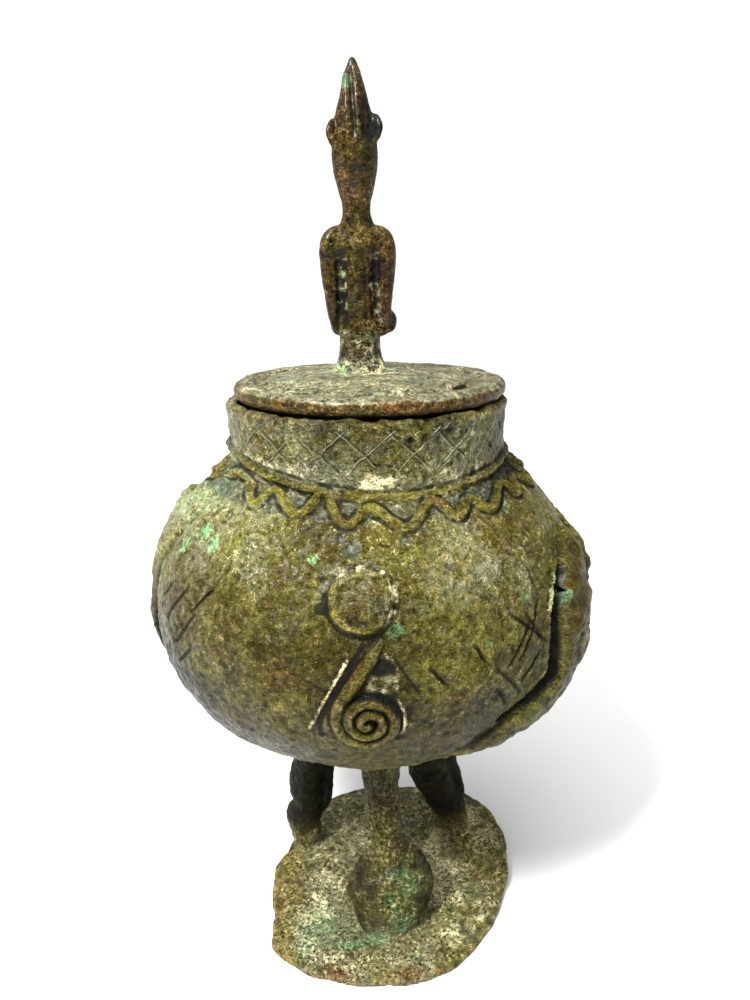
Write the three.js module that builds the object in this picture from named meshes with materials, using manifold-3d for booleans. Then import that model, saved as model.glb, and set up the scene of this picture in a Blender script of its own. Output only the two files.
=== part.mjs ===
// A lidded bronze pot. A round belly stands on three splayed legs over an uneven foot plate, all cast as
// one piece, and the loose lid carries a bird-headed figure.
// Lengths are millimetres and +Z is up. The pot's axis is x = y = 0 and its front faces -Y.
// Azimuths are degrees round that axis, 0 at the front and growing towards +X.
import * as THREE from "three";
import { mergeVertices } from "three/addons/utils/BufferGeometryUtils.js";
import Module from "manifold-3d";

const wasm = await Module();
wasm.setup();

// Foot plate: a hand-trimmed disc with a flat underside, bent up towards its back right edge.
const PLATE_THICKNESS = 3.6;
const PLATE_CENTRE = [10, 1];
const PLATE_RADIUS = 64;
const PLATE_EDGE_ROUND = 0.9;
const PLATE_MIDDLE_SHARE = 0.5;
const PLATE_BEND_AZIMUTH = 120;
const PLATE_BEND_START = 42;
const PLATE_BEND_LENGTH = 34;
const PLATE_BEND_RISE = 8;
// The trimmed outline: azimuth round the plate's own centre, and its reach as a share of PLATE_RADIUS.
const PLATE_OUTLINE = [
  [0, 1], [22, 0.985], [37, 0.94], [50, 0.91], [70, 0.91], [89, 0.95], [108, 1], [128, 1.03], [145, 1.03],
  [175, 1], [205, 1.03], [220, 1.03], [235, 0.97], [253, 0.93], [270, 0.985], [292, 1.02], [301, 1.08],
  [308, 1.155], [322, 1.12], [338, 1.055],
];

// Legs: a column that ends in a rounded knee, over a leaf-shaped foot.
const LEG_HEIGHT = 97.4;
const LEG_TOP_RADIUS = 27;
const LEG_FOOT_RADIUS = 34;
const LEG_HALF_WIDTH = 8.6;
const KNEE_SHARE = 0.42;
const FOOT_HALF_WIDTH = 21;
const FOOT_HALF_DEPTH = 7.5;
const FOOT_SHARE = 0.53;
const LEGS = [
  { azimuth: 8, scale: 1, splay: 0, lean: 3 },
  { azimuth: -118, scale: 0.84, splay: 10, lean: 0 },
  { azimuth: 126, scale: 0.95, splay: 13, lean: 0 },
];

// Belly and neck, as turned profiles of even wall.
const BELLY_RADIUS = 93;
const BELLY_LOWER_HEIGHT = 64.5;
const BELLY_UPPER_HEIGHT = 80;
const BELLY_LOWER_POWER = 2.05;
const BELLY_UPPER_POWER = 2.1;
const BELLY_WALL = 4.5;
const NECK_RADIUS = 58.5;
const NECK_WALL = 5;
const NECK_HEIGHT = 26.7;
const RIM_ROUND = 1.4;

// Applied ornament on the belly.
const CORD_RADIUS = 1.9;
const RING_RADIUS = 2.1;
const RING_WAVE = 3;
const RING_WAVE_AZIMUTH = 8;
const ZIGZAG_TEETH = 21;
const ZIGZAG_TOP_DROP = 1.6;
const ZIGZAG_DEPTH = 6.6;
const BOSS_RADIUS = 11.8;
const BOSS_PROUD = 3.2;
const BOSS_DROP = 28.5;
const COIL_RADIUS = 12.4;
const COIL_DROP = 70;
const COIL_TURNS = 2.2;
const COIL_STRAND = 2.6;
const COIL_STEM_DROP = 42;

// Lid: a thick rounded edge, a shallow groove, a low dome and a locating ring below.
const LID_RADIUS = 56.4;
const LID_EDGE_THICKNESS = 7;
const LID_EDGE_ROUND = 2.2;
const LID_LIP_WIDTH = 9;
const LID_GROOVE_WIDTH = 3.5;
const LID_GROOVE_DEPTH = 1.6;
const LID_DOME_RISE = 3.4;
const LID_PLATE_THICKNESS = 5;
const LID_SHIFT = [1.5, 0.8];
const LID_GAP = 0.3;
const SPIGOT_CLEARANCE = 2.4;
const SPIGOT_WIDTH = 4.5;
const SPIGOT_DEPTH = 4.5;

// Figure on the lid. Every height is a share of FIGURE_HEIGHT above the lid's dome.
const FIGURE_HEIGHT = 115;
const FIGURE_SHIFT = [-3.6, -1];
const FIGURE_LEAN = 1;
const ARM_RADIUS = 3.6;
const EYE_RADIUS = 4.6;
const EYE_HALF_THICKNESS = 2.2;

// Facets.
const BELLY_SIDES = 42;
const HOLLOW_SIDES = 30;
const PLATE_SIDES = 40;
const LID_SIDES = 36;
const SINK = 2;

// Levels that follow from the sizes above.
const BELLY_BOTTOM = PLATE_THICKNESS + LEG_HEIGHT;
const EQUATOR = BELLY_BOTTOM + BELLY_LOWER_HEIGHT;

const radians = THREE.MathUtils.degToRad;

// Radius of an oval of revolution at a height: the belly, or its inside when inset is the wall.
function ovalRadius(z, inset) {
  const upper = z > EQUATOR;
  const half = (upper ? BELLY_UPPER_HEIGHT : BELLY_LOWER_HEIGHT) - inset;
  const power = upper ? BELLY_UPPER_POWER : BELLY_LOWER_POWER;
  const share = Math.min(1, Math.abs(z - EQUATOR) / half);
  return (BELLY_RADIUS - inset) * (1 - share ** power) ** (1 / power);
}

// Height at which the upper half of the oval has a given radius.
function shoulderHeight(radius, inset) {
  const share = 1 - (radius / (BELLY_RADIUS - inset)) ** BELLY_UPPER_POWER;
  return EQUATOR + (BELLY_UPPER_HEIGHT - inset) * share ** (1 / BELLY_UPPER_POWER);
}

const NECK_FOOT = shoulderHeight(NECK_RADIUS, 0);
const RIM = NECK_FOOT + NECK_HEIGHT;
const NECK_BORE = NECK_RADIUS - NECK_WALL;
const LID_UNDERSIDE = RIM + LID_GAP;
const LID_TOP = LID_UNDERSIDE + LID_EDGE_THICKNESS;

// A closed three.js geometry as a solid that can be joined and cut.
function solid(geometry) {
  const bare = geometry.clone();
  bare.deleteAttribute("normal");
  bare.deleteAttribute("uv");
  const merged = mergeVertices(bare, 1e-4);
  const kept = [];
  const index = merged.index.array;
  for (let i = 0; i < index.length; i += 3) {
    const [a, b, c] = [index[i], index[i + 1], index[i + 2]];
    if (a !== b && b !== c && c !== a) kept.push(a, b, c);
  }
  const mesh = new wasm.Mesh({
    numProp: 3,
    vertProperties: merged.attributes.position.array,
    triVerts: new Uint32Array(kept),
  });
  return new wasm.Manifold(mesh);
}

function toGeometry(manifold) {
  const mesh = manifold.getMesh();
  const geometry = new THREE.BufferGeometry();
  geometry.setAttribute("position", new THREE.BufferAttribute(mesh.vertProperties, 3));
  geometry.setIndex(new THREE.BufferAttribute(mesh.triVerts, 1));
  geometry.computeVertexNormals();
  return geometry;
}

function joinAll(solids) {
  return solids.reduce((whole, next) => whole.add(next));
}

// A profile of [radius, height] points turned about the Z axis.
function turned(profile, sides) {
  const points = profile.map(([r, z]) => new THREE.Vector2(r, z));
  return solid(new THREE.LatheGeometry(points, sides).rotateX(Math.PI / 2));
}

// A closed body through rings of points, each ring given by its centre and two half-axes.
// A looped body joins its last ring to its first, and any other is closed by a fan at each end.
function bodyThrough(rings, sides, looped = false) {
  const positions = [];
  const index = [];
  for (const { centre, across, up } of rings) {
    for (let s = 0; s < sides; s++) {
      const angle = (2 * Math.PI * s) / sides;
      const point = centre.clone().addScaledVector(across, Math.cos(angle)).addScaledVector(up, Math.sin(angle));
      positions.push(point.x, point.y, point.z);
    }
  }
  const spans = looped ? rings.length : rings.length - 1;
  for (let r = 0; r < spans; r++) {
    for (let s = 0; s < sides; s++) {
      const here = r * sides;
      const next = ((r + 1) % rings.length) * sides;
      const t = (s + 1) % sides;
      index.push(here + s, here + t, next + t, here + s, next + t, next + s);
    }
  }
  if (!looped) {
    for (const [ring, flipped] of [[0, true], [rings.length - 1, false]]) {
      const hub = positions.length / 3;
      positions.push(...rings[ring].centre.toArray());
      for (let s = 0; s < sides; s++) {
        const a = ring * sides + s;
        const b = ring * sides + ((s + 1) % sides);
        index.push(...(flipped ? [b, a, hub] : [a, b, hub]));
      }
    }
  }
  const geometry = new THREE.BufferGeometry();
  geometry.setAttribute("position", new THREE.Float32BufferAttribute(positions, 3));
  geometry.setIndex(index);
  const made = solid(geometry);
  if (made.volume() > 0) return made;
  for (let i = 0; i < index.length; i += 3) [index[i], index[i + 1]] = [index[i + 1], index[i]];
  geometry.setIndex(index);
  return solid(geometry);
}

// A smooth limb: each station is [x, y, z, half width, half depth], and width runs along the given direction.
function limb(stations, widthDirection, steps, sides) {
  const path = new THREE.CatmullRomCurve3(stations.map(([x, y, z]) => new THREE.Vector3(x, y, z)));
  const sizes = new THREE.CatmullRomCurve3(stations.map(([, , , a, b]) => new THREE.Vector3(a, b, 0)));
  const rings = [];
  for (let i = 0; i <= steps; i++) {
    const tangent = path.getTangent(i / steps);
    const size = sizes.getPoint(i / steps);
    const across = widthDirection.clone().addScaledVector(tangent, -widthDirection.dot(tangent)).normalize();
    const up = tangent.clone().cross(across).normalize();
    rings.push({
      centre: path.getPoint(i / steps),
      across: across.multiplyScalar(size.x),
      up: up.multiplyScalar(size.y),
    });
  }
  return bodyThrough(rings, sides);
}

// A point on the outside of the neck or belly, and the way out of the wall there.
function onWall(azimuth, z) {
  const radiusAt = (h) => Math.max(ovalRadius(h, 0), h > NECK_FOOT ? NECK_RADIUS : 0);
  const a = radians(azimuth);
  const slope = radiusAt(z + 0.5) - radiusAt(z - 0.5);
  const out = new THREE.Vector3(Math.sin(a), -Math.cos(a), -slope).normalize();
  const r = radiusAt(z);
  return { point: new THREE.Vector3(r * Math.sin(a), -r * Math.cos(a), z), out };
}

// A raised strand on the wall. Each station is [azimuth, height, half width, height above the wall].
function strandOnWall(stations, sides, looped = false) {
  const seats = stations.map(([azimuth, z]) => onWall(azimuth, z));
  const count = stations.length;
  const rings = stations.map(([, , halfWidth, proud], i) => {
    const after = looped ? (i + 1) % count : Math.min(i + 1, count - 1);
    const before = looped ? (i + count - 1) % count : Math.max(i - 1, 0);
    const tangent = seats[after].point.clone().sub(seats[before].point).normalize();
    const { point, out } = seats[i];
    const across = tangent.cross(out).normalize();
    return {
      centre: point.clone(),
      across: across.multiplyScalar(halfWidth),
      up: out.clone().multiplyScalar(proud),
    };
  });
  return bodyThrough(rings, sides, looped);
}

// Stations between the given ones, on a smooth curve through them.
function smooth(stations, steps) {
  const places = new THREE.CatmullRomCurve3(stations.map(([a, z]) => new THREE.Vector3(a, z, 0)));
  const sizes = new THREE.CatmullRomCurve3(stations.map(([, , w, h]) => new THREE.Vector3(w, h, 0)));
  return Array.from({ length: steps + 1 }, (_, i) => {
    const place = places.getPoint(i / steps);
    const size = sizes.getPoint(i / steps);
    return [place.x, place.y, size.x, size.y];
  });
}

function plateReach(azimuth) {
  const spread = PLATE_OUTLINE.map(([a, share]) => new THREE.Vector3(a, share, 0));
  const wrapped = ((azimuth % 360) + 360) % 360;
  const after = spread.findIndex((p) => p.x > wrapped);
  const next = after < 0 ? spread.length : after;
  const a = spread[next - 1];
  const b = next < spread.length ? spread[next] : new THREE.Vector3(360, spread[0].y, 0);
  const share = (wrapped - a.x) / (b.x - a.x);
  const eased = share * share * (3 - 2 * share);
  return PLATE_RADIUS * (a.y + (b.y - a.y) * eased);
}

// How far the bend lifts the plate at a point.
function plateLift(x, y) {
  const a = radians(PLATE_BEND_AZIMUTH);
  const past = (x * Math.sin(a) - y * Math.cos(a) - PLATE_BEND_START) / PLATE_BEND_LENGTH;
  return PLATE_BEND_RISE * THREE.MathUtils.smoothstep(past, 0, 1);
}

function footPlate() {
  const round = PLATE_EDGE_ROUND / PLATE_RADIUS;
  const profile = [
    [0, 0], [PLATE_MIDDLE_SHARE, 0], [1 - round, 0], [1, PLATE_EDGE_ROUND],
    [1, PLATE_THICKNESS - PLATE_EDGE_ROUND], [1 - round, PLATE_THICKNESS],
    [PLATE_MIDDLE_SHARE, PLATE_THICKNESS], [0, PLATE_THICKNESS],
  ];
  const disc = new THREE.LatheGeometry(profile.map(([r, z]) => new THREE.Vector2(r, z)), PLATE_SIDES);
  disc.rotateX(Math.PI / 2);
  const position = disc.attributes.position;
  for (let i = 0; i < position.count; i++) {
    const share = Math.hypot(position.getX(i), position.getY(i));
    const azimuth = Math.atan2(position.getX(i), -position.getY(i));
    const reach = share * plateReach(THREE.MathUtils.radToDeg(azimuth));
    const x = PLATE_CENTRE[0] + reach * Math.sin(azimuth);
    const y = PLATE_CENTRE[1] - reach * Math.cos(azimuth);
    position.setXYZ(i, x, y, position.getZ(i) + plateLift(x, y));
  }
  return solid(disc);
}

// One leg, worked out in a frame of radial reach, sideways offset and height.
function leg({ azimuth, scale, splay, lean }) {
  const a = radians(azimuth);
  const out = new THREE.Vector3(Math.sin(a), -Math.cos(a), 0);
  const side = new THREE.Vector3(Math.cos(a), Math.sin(a), 0);
  const footRadius = LEG_FOOT_RADIUS + splay;
  const place = (reach, sideways, z) => [
    out.x * reach + side.x * sideways,
    out.y * reach + side.y * sideways,
    z,
  ];
  const top = BELLY_BOTTOM + BELLY_WALL + SINK;
  const ground = PLATE_THICKNESS + plateLift(out.x * footRadius, out.y * footRadius);
  const height = (share) => ground + share * (BELLY_BOTTOM - ground);
  const w = LEG_HALF_WIDTH * scale;
  const column = limb(
    [
      [...place(LEG_TOP_RADIUS, 0, top), w * 1.5, w * 1.5],
      [...place(LEG_TOP_RADIUS + splay * 0.1, 0, height(0.97)), w * 1.22, w * 1.2],
      [...place(LEG_TOP_RADIUS + splay * 0.25, 0, height(0.85)), w, w * 0.95],
      [...place(LEG_TOP_RADIUS + splay * 0.5, lean * 0.4, height(0.66)), w * 0.95, w * 0.92],
      [...place(LEG_TOP_RADIUS + 2 + splay * 0.75, lean * 0.8, height(0.5)), w * 0.9, w * 0.95],
      [...place(LEG_TOP_RADIUS + 4 + splay * 0.9, lean, height(KNEE_SHARE)), w * 0.82, w * 0.85],
      [...place(LEG_TOP_RADIUS + 5 + splay, lean, height(KNEE_SHARE - 0.09)), w * 0.4, w * 0.45],
    ],
    side,
    8,
    8,
  );
  const f = FOOT_HALF_WIDTH * scale;
  const d = FOOT_HALF_DEPTH * scale;
  const back = footRadius - 6;
  const foot = limb(
    [
      [...place(back - 2, lean, height(FOOT_SHARE)), f * 0.3, d * 0.5],
      [...place(back - 0.5, lean * 1.1, height(FOOT_SHARE - 0.1)), f * 0.56, d * 0.8],
      [...place(back + 1, lean * 1.2, height(FOOT_SHARE - 0.22)), f * 0.88, d],
      [...place(back + 2.5, lean * 1.3, height(FOOT_SHARE - 0.34)), f, d * 1.15],
      [...place(back + 4, lean * 1.3, height(0.08)), f * 0.94, d * 1.3],
      [...place(back + 4.5, lean * 1.3, ground - SINK), f * 0.9, d * 1.4],
    ],
    side,
    6,
    10,
  );
  return column.add(foot);
}

// Belly and neck without their hollow: the outside profile, closed on the axis.
function bellyOutside() {
  const lowerSteps = 7;
  const lower = Array.from({ length: lowerSteps }, (_, i) => {
    const t = (Math.PI / 2) * (i / lowerSteps);
    const z = EQUATOR - BELLY_LOWER_HEIGHT * Math.cos(t) ** (2 / BELLY_LOWER_POWER);
    return [i === 0 ? 0 : ovalRadius(z, 0), z];
  });
  const upperSteps = 6;
  const upper = Array.from({ length: upperSteps + 1 }, (_, i) => {
    const z = EQUATOR + (NECK_FOOT - EQUATOR) * Math.sin((Math.PI / 2) * (i / upperSteps));
    return [ovalRadius(z, 0), z];
  });
  const neck = [
    [NECK_RADIUS - 0.5, NECK_FOOT + NECK_HEIGHT * 0.45],
    [NECK_RADIUS, RIM - RIM_ROUND],
    [NECK_RADIUS - RIM_ROUND, RIM],
    [0, RIM],
  ];
  return turned([...lower, ...upper, ...neck], BELLY_SIDES);
}

// The hollow: the inside of the belly and the bore of the neck, open at the rim.
function hollow() {
  const floor = BELLY_BOTTOM + BELLY_WALL;
  const steps = 6;
  const lower = Array.from({ length: steps }, (_, i) => {
    const t = (Math.PI / 2) * (i / steps);
    const z = EQUATOR - (EQUATOR - floor) * Math.cos(t) ** (2 / BELLY_LOWER_POWER);
    return [i === 0 ? 0 : ovalRadius(z, BELLY_WALL), z];
  });
  const innerFoot = shoulderHeight(NECK_BORE, BELLY_WALL);
  const upper = Array.from({ length: steps }, (_, i) => {
    const z = EQUATOR + (innerFoot - EQUATOR) * Math.sin((Math.PI / 2) * (i / (steps - 1)));
    return [ovalRadius(z, BELLY_WALL), z];
  });
  const mouth = [
    [NECK_BORE, RIM - RIM_ROUND],
    [NECK_BORE + RIM_ROUND, RIM + SINK],
    [0, RIM + SINK],
  ];
  return turned([...lower, ...upper, ...mouth], HOLLOW_SIDES);
}

// The wavy ring at the foot of the neck.
function neckRing() {
  const steps = 30;
  const stations = Array.from({ length: steps }, (_, i) => {
    const azimuth = (360 * i) / steps;
    const wave = Math.cos(2 * radians(azimuth - RING_WAVE_AZIMUTH));
    return [azimuth, NECK_FOOT + RING_WAVE * (0.85 - wave), RING_RADIUS * 1.2, RING_RADIUS];
  });
  return strandOnWall(stations, 4, true);
}

// The cord laid in a zigzag round the shoulder.
function zigzagCord() {
  const perTooth = 2;
  const steps = ZIGZAG_TEETH * perTooth;
  const top = NECK_FOOT - ZIGZAG_TOP_DROP;
  const stations = Array.from({ length: steps }, (_, i) => [
    (360 * i) / steps,
    top - ZIGZAG_DEPTH * (i % perTooth),
    CORD_RADIUS,
    CORD_RADIUS,
  ]);
  return strandOnWall(stations, 4, true);
}

// A low round boss on the belly, below the zigzag.
function boss(azimuth) {
  const { point, out } = onWall(azimuth, NECK_FOOT - BOSS_DROP);
  const dome = new THREE.SphereGeometry(1, 12, 6);
  dome.scale(BOSS_RADIUS, BOSS_RADIUS, BOSS_PROUD);
  dome.applyQuaternion(new THREE.Quaternion().setFromUnitVectors(new THREE.Vector3(0, 0, 1), out));
  dome.translate(point.x, point.y, point.z);
  return solid(dome);
}

// A stem that hangs below the boss and winds into a flat coil. Offsets sideways become azimuth on the wall.
function coil(azimuth) {
  const centreZ = NECK_FOOT - COIL_DROP;
  const perMillimetre = 180 / Math.PI / BELLY_RADIUS;
  const stations = [
    [azimuth + 4.6 * perMillimetre, NECK_FOOT - COIL_STEM_DROP, COIL_STRAND * 0.5, COIL_STRAND * 0.8],
    [azimuth - 2.2 * perMillimetre, NECK_FOOT - COIL_STEM_DROP - 9, COIL_STRAND, COIL_STRAND],
  ];
  const turnSteps = 10;
  const steps = Math.round(COIL_TURNS * turnSteps);
  for (let i = 0; i <= steps; i++) {
    const share = i / steps;
    const angle = radians(165) + 2 * Math.PI * COIL_TURNS * share;
    const reach = COIL_RADIUS * (1 - 0.88 * share);
    stations.push([
      azimuth + Math.cos(angle) * reach * perMillimetre,
      centreZ + Math.sin(angle) * reach,
      COIL_STRAND * (1 - 0.35 * share),
      COIL_STRAND * (0.85 + 0.35 * share),
    ]);
  }
  return strandOnWall(stations, 4);
}

// A lizard clinging to the wall: a body with a tail, and its bent legs. Stations as for a strand.
function lizard(body, legs) {
  const parts = [strandOnWall(smooth(body, 9), 6)];
  for (const one of legs) parts.push(strandOnWall(smooth(one, 3), 4));
  return joinAll(parts);
}

function rightLizard() {
  return lizard(
    [
      [71, EQUATOR + 38, 3, 2.5], [68, EQUATOR + 29, 10, 5], [64, EQUATOR + 16, 15, 6.5],
      [62.5, EQUATOR + 3, 15, 6.5], [59, EQUATOR - 8, 13, 6], [52, EQUATOR - 17, 12, 5.5],
      [44, EQUATOR - 23, 10.5, 4.8], [36, EQUATOR - 28, 8.5, 4], [24, EQUATOR - 34, 3, 1.5],
    ],
    [
      [[70, EQUATOR + 20, 4, 4], [80, EQUATOR + 24, 3.5, 4.5], [87, EQUATOR + 30, 3, 3], [90, EQUATOR + 37, 2.5, 1.5]],
      [[66, EQUATOR - 4, 4, 4], [76, EQUATOR - 10, 3.5, 4.5], [84, EQUATOR - 10, 3, 3], [89, EQUATOR - 4, 2.5, 1.5]],
    ],
  );
}

function leftLizard() {
  return lizard(
    [
      [-68, EQUATOR + 63, 3, 2], [-72, EQUATOR + 55, 9, 3.5], [-77, EQUATOR + 44, 12.5, 4],
      [-81, EQUATOR + 33, 12, 4], [-84, EQUATOR + 22, 10, 4], [-84, EQUATOR + 10, 8, 4],
      [-82, EQUATOR - 2, 7, 4], [-79, EQUATOR - 12, 4, 3], [-75, EQUATOR - 19, 2, 1],
    ],
    [
      [[-84, EQUATOR + 44, 3.5, 4], [-96, EQUATOR + 46, 3.2, 4], [-104, EQUATOR + 40, 3, 3], [-105, EQUATOR + 32, 3, 2]],
      [[-84, EQUATOR + 10, 3.5, 4], [-93, EQUATOR + 2, 3.2, 3.5], [-101, EQUATOR + 4, 3, 2.5], [-106, EQUATOR + 10, 2.5, 1.5]],
    ],
  );
}

function vessel() {
  const outside = joinAll([
    bellyOutside(),
    neckRing(),
    zigzagCord(),
    boss(-1.2),
    coil(-0.6),
    boss(180),
    coil(180),
    rightLizard(),
    leftLizard(),
    ...LEGS.map(leg),
    footPlate(),
  ]);
  return outside.subtract(hollow());
}

// The lid's disc: lip, groove and dome above, locating ring below.
function lidDisc() {
  const lip = LID_RADIUS - LID_LIP_WIDTH;
  const groove = lip - LID_GROOVE_WIDTH;
  const spigotOuter = NECK_BORE - SPIGOT_CLEARANCE;
  const spigotInner = spigotOuter - SPIGOT_WIDTH;
  const ceiling = LID_TOP - LID_PLATE_THICKNESS;
  const disc = turned(
    [
      [0, ceiling + LID_DOME_RISE * 0.6],
      [spigotInner * 0.6, ceiling + LID_DOME_RISE * 0.3],
      [spigotInner, ceiling],
      [spigotInner, LID_UNDERSIDE - SPIGOT_DEPTH],
      [spigotOuter, LID_UNDERSIDE - SPIGOT_DEPTH],
      [spigotOuter, LID_UNDERSIDE],
      [LID_RADIUS - LID_EDGE_ROUND, LID_UNDERSIDE],
      [LID_RADIUS, LID_UNDERSIDE + LID_EDGE_ROUND],
      [LID_RADIUS, LID_TOP - LID_EDGE_ROUND],
      [LID_RADIUS - LID_EDGE_ROUND, LID_TOP],
      [lip + 1, LID_TOP],
      [lip, LID_TOP - LID_GROOVE_DEPTH],
      [groove, LID_TOP - LID_GROOVE_DEPTH],
      [groove - 1.5, LID_TOP + 0.4],
      [groove * 0.6, LID_TOP + LID_DOME_RISE * 0.65],
      [0, LID_TOP + LID_DOME_RISE],
    ],
    LID_SIDES,
  );
  return disc;
}

// The figure: a stump and torso, arms bent forwards at the elbow, a bird's head whose beak points up.
function figure() {
  const x0 = FIGURE_SHIFT[0];
  const y0 = FIGURE_SHIFT[1];
  const foot = LID_TOP + LID_DOME_RISE;
  const leanAt = (share) => x0 - FIGURE_LEAN * share;
  const at = (share, dx, dy) => [leanAt(share) + dx, y0 + dy, foot + FIGURE_HEIGHT * share];
  const right = new THREE.Vector3(1, 0, 0);
  const trunk = limb(
    [
      [...at(-0.05, 0, 0), 13, 11], [...at(0.02, 0, 0), 10.4, 9], [...at(0.07, 0, 0), 8.6, 7.6],
      [...at(0.14, 0, 0), 8.3, 7], [...at(0.22, 0, 0), 8.6, 6.6], [...at(0.34, 0, 0), 9.6, 6.6],
      [...at(0.42, 0, 0), 11.4, 6.4], [...at(0.475, 0, 0), 7.6, 5.4], [...at(0.53, 0, 0), 5.7, 5.2],
      [...at(0.57, 0, 0), 5.9, 5.4], [...at(0.62, 0, 0), 7.6, 6.6], [...at(0.68, 0, 0), 8.7, 7.6],
      [...at(0.74, 0, 0), 8.6, 7.6], [...at(0.81, 0, 0), 7.6, 6.6], [...at(0.87, 0, 0), 6, 5.2],
      [...at(0.93, 0, 0), 4, 3.6], [...at(0.975, 0, 0), 2.2, 2], [...at(1, 0, 0), 0.5, 0.5],
    ],
    right,
    20,
    10,
  );
  const arms = [-1, 1].map((hand) => {
    const r = ARM_RADIUS;
    const drop = hand > 0 ? 0.012 : 0;
    return limb(
      [
        [...at(0.445, hand * 8, 0), r * 0.8, r * 0.9], [...at(0.425, hand * 11.2, -0.5), r * 1.1, r * 1.15],
        [...at(0.36, hand * 11.6, -1), r, r * 1.1], [...at(0.26, hand * 10.4, -1), r * 0.95, r],
        [...at(0.175 - drop, hand * 9.2, 0.5), r * (1 + hand * 0.12), r], [...at(0.145, hand * 8, 6), r * 0.9, r * 0.9],
        [...at(0.16, hand * 3.4, 8.4), r * 0.7, r * 0.6],
      ],
      new THREE.Vector3(0.9, -0.4, 0.1).normalize(),
      8,
      6,
    );
  });
  const eyes = [-1, 1].map((hand) => {
    const disc = new THREE.SphereGeometry(1, 8, 6);
    disc.scale(EYE_HALF_THICKNESS, EYE_RADIUS, EYE_RADIUS);
    const [x, y, z] = at(hand > 0 ? 0.79 : 0.775, hand * 7.9, 0);
    disc.translate(x, y, z);
    return solid(disc);
  });
  return joinAll([trunk, ...arms, ...eyes]);
}

function lid() {
  const whole = lidDisc().add(figure());
  return whole.translate([LID_SHIFT[0], LID_SHIFT[1], 0]);
}

function bronze(name, manifold, colour, roughness) {
  const material = new THREE.MeshStandardMaterial({ color: colour, roughness, metalness: 0.7 });
  const mesh = new THREE.Mesh(toGeometry(manifold), material);
  mesh.name = name;
  return mesh;
}

const pot = new THREE.Group();
pot.name = "lidded_pot";
pot.add(bronze("vessel", vessel(), 0x6b6640, 0.6));
pot.add(bronze("lid", lid(), 0x6a5a44, 0.55));

export default pot;
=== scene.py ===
"""A lidded bronze pot: belly and neck with relief ornament, legs on a foot plate, and a lid with a figure.

Shapes are worked out in millimetres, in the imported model's frame: the pot's axis is x = y = 0, its front faces
-Y, and +Z is up. Azimuths are degrees round that axis, 0 at the front and growing towards +X.
"""

import math

import bpy
import numpy as np
from mathutils import Matrix, Vector


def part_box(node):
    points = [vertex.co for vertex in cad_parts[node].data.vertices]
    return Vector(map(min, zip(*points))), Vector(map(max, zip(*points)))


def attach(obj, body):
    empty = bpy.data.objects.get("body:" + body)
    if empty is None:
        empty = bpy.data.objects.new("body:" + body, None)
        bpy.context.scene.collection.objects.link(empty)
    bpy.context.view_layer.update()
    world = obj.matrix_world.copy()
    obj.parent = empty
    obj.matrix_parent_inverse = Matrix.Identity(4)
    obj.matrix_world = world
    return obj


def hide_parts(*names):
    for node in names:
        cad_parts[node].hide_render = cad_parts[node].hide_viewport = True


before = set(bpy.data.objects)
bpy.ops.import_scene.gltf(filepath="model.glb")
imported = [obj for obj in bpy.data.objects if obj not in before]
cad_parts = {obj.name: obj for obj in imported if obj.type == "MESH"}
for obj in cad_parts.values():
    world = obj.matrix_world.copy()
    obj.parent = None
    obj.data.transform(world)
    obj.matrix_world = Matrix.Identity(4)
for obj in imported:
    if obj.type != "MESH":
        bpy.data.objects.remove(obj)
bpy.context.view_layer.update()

bl_info = {
    "name": "Lidded bronze pot",
    "version": (1, 0, 0),
    "blender": (4, 5, 0),
    "location": "View3D > Sidebar > Pot",
    "description": "Makes the pot's belly, feet and lid as detailed meshes, with materials, light and camera",
    "category": "Add Mesh",
}

MM = 0.001
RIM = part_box("vessel")[1].z / MM
TOTAL_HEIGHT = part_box("lid")[1].z / MM

# Foot plate and legs, as in the solids
PLATE_THICKNESS = 3.6
PLATE_CENTRE = (10.0, 1.0)
PLATE_RADIUS = 64.0
PLATE_BEND_AZIMUTH = 120
PLATE_BEND_START = 42.0
PLATE_BEND_LENGTH = 34.0
PLATE_BEND_RISE = 8.0
PLATE_OUTLINE = (
    (0, 1), (22, 0.985), (37, 0.94), (50, 0.91), (70, 0.91), (89, 0.95), (108, 1), (128, 1.03), (145, 1.03),
    (175, 1), (205, 1.03), (220, 1.03), (235, 0.97), (253, 0.93), (270, 0.985), (292, 1.02), (301, 1.08),
    (308, 1.155), (322, 1.12), (338, 1.055), (360, 1),
)
LEG_HEIGHT = 97.4
LEG_TOP_RADIUS = 27.0
LEG_FOOT_RADIUS = 34.0
LEG_HALF_WIDTH = 8.6
KNEE_SHARE = 0.42
FOOT_HALF_WIDTH = 21.0
FOOT_HALF_DEPTH = 7.5
FOOT_SHARE = 0.53
FRONT_LEG_AZIMUTH = 8
FRONT_LEG_LEAN = 3

# Belly and neck
BELLY_BOTTOM = PLATE_THICKNESS + LEG_HEIGHT
BELLY_RADIUS = 93.0
BELLY_LOWER_HEIGHT = 64.5
BELLY_UPPER_HEIGHT = 80.0
BELLY_LOWER_POWER = 2.05
BELLY_UPPER_POWER = 2.1
BELLY_WALL = 4.5
NECK_RADIUS = 58.5
NECK_WALL = 5.0
RIM_ROUND = 1.6
EQUATOR = BELLY_BOTTOM + BELLY_LOWER_HEIGHT
NECK_FOOT = EQUATOR + BELLY_UPPER_HEIGHT * (1 - (NECK_RADIUS / BELLY_RADIUS) ** BELLY_UPPER_POWER) ** (
    1 / BELLY_UPPER_POWER
)

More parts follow.
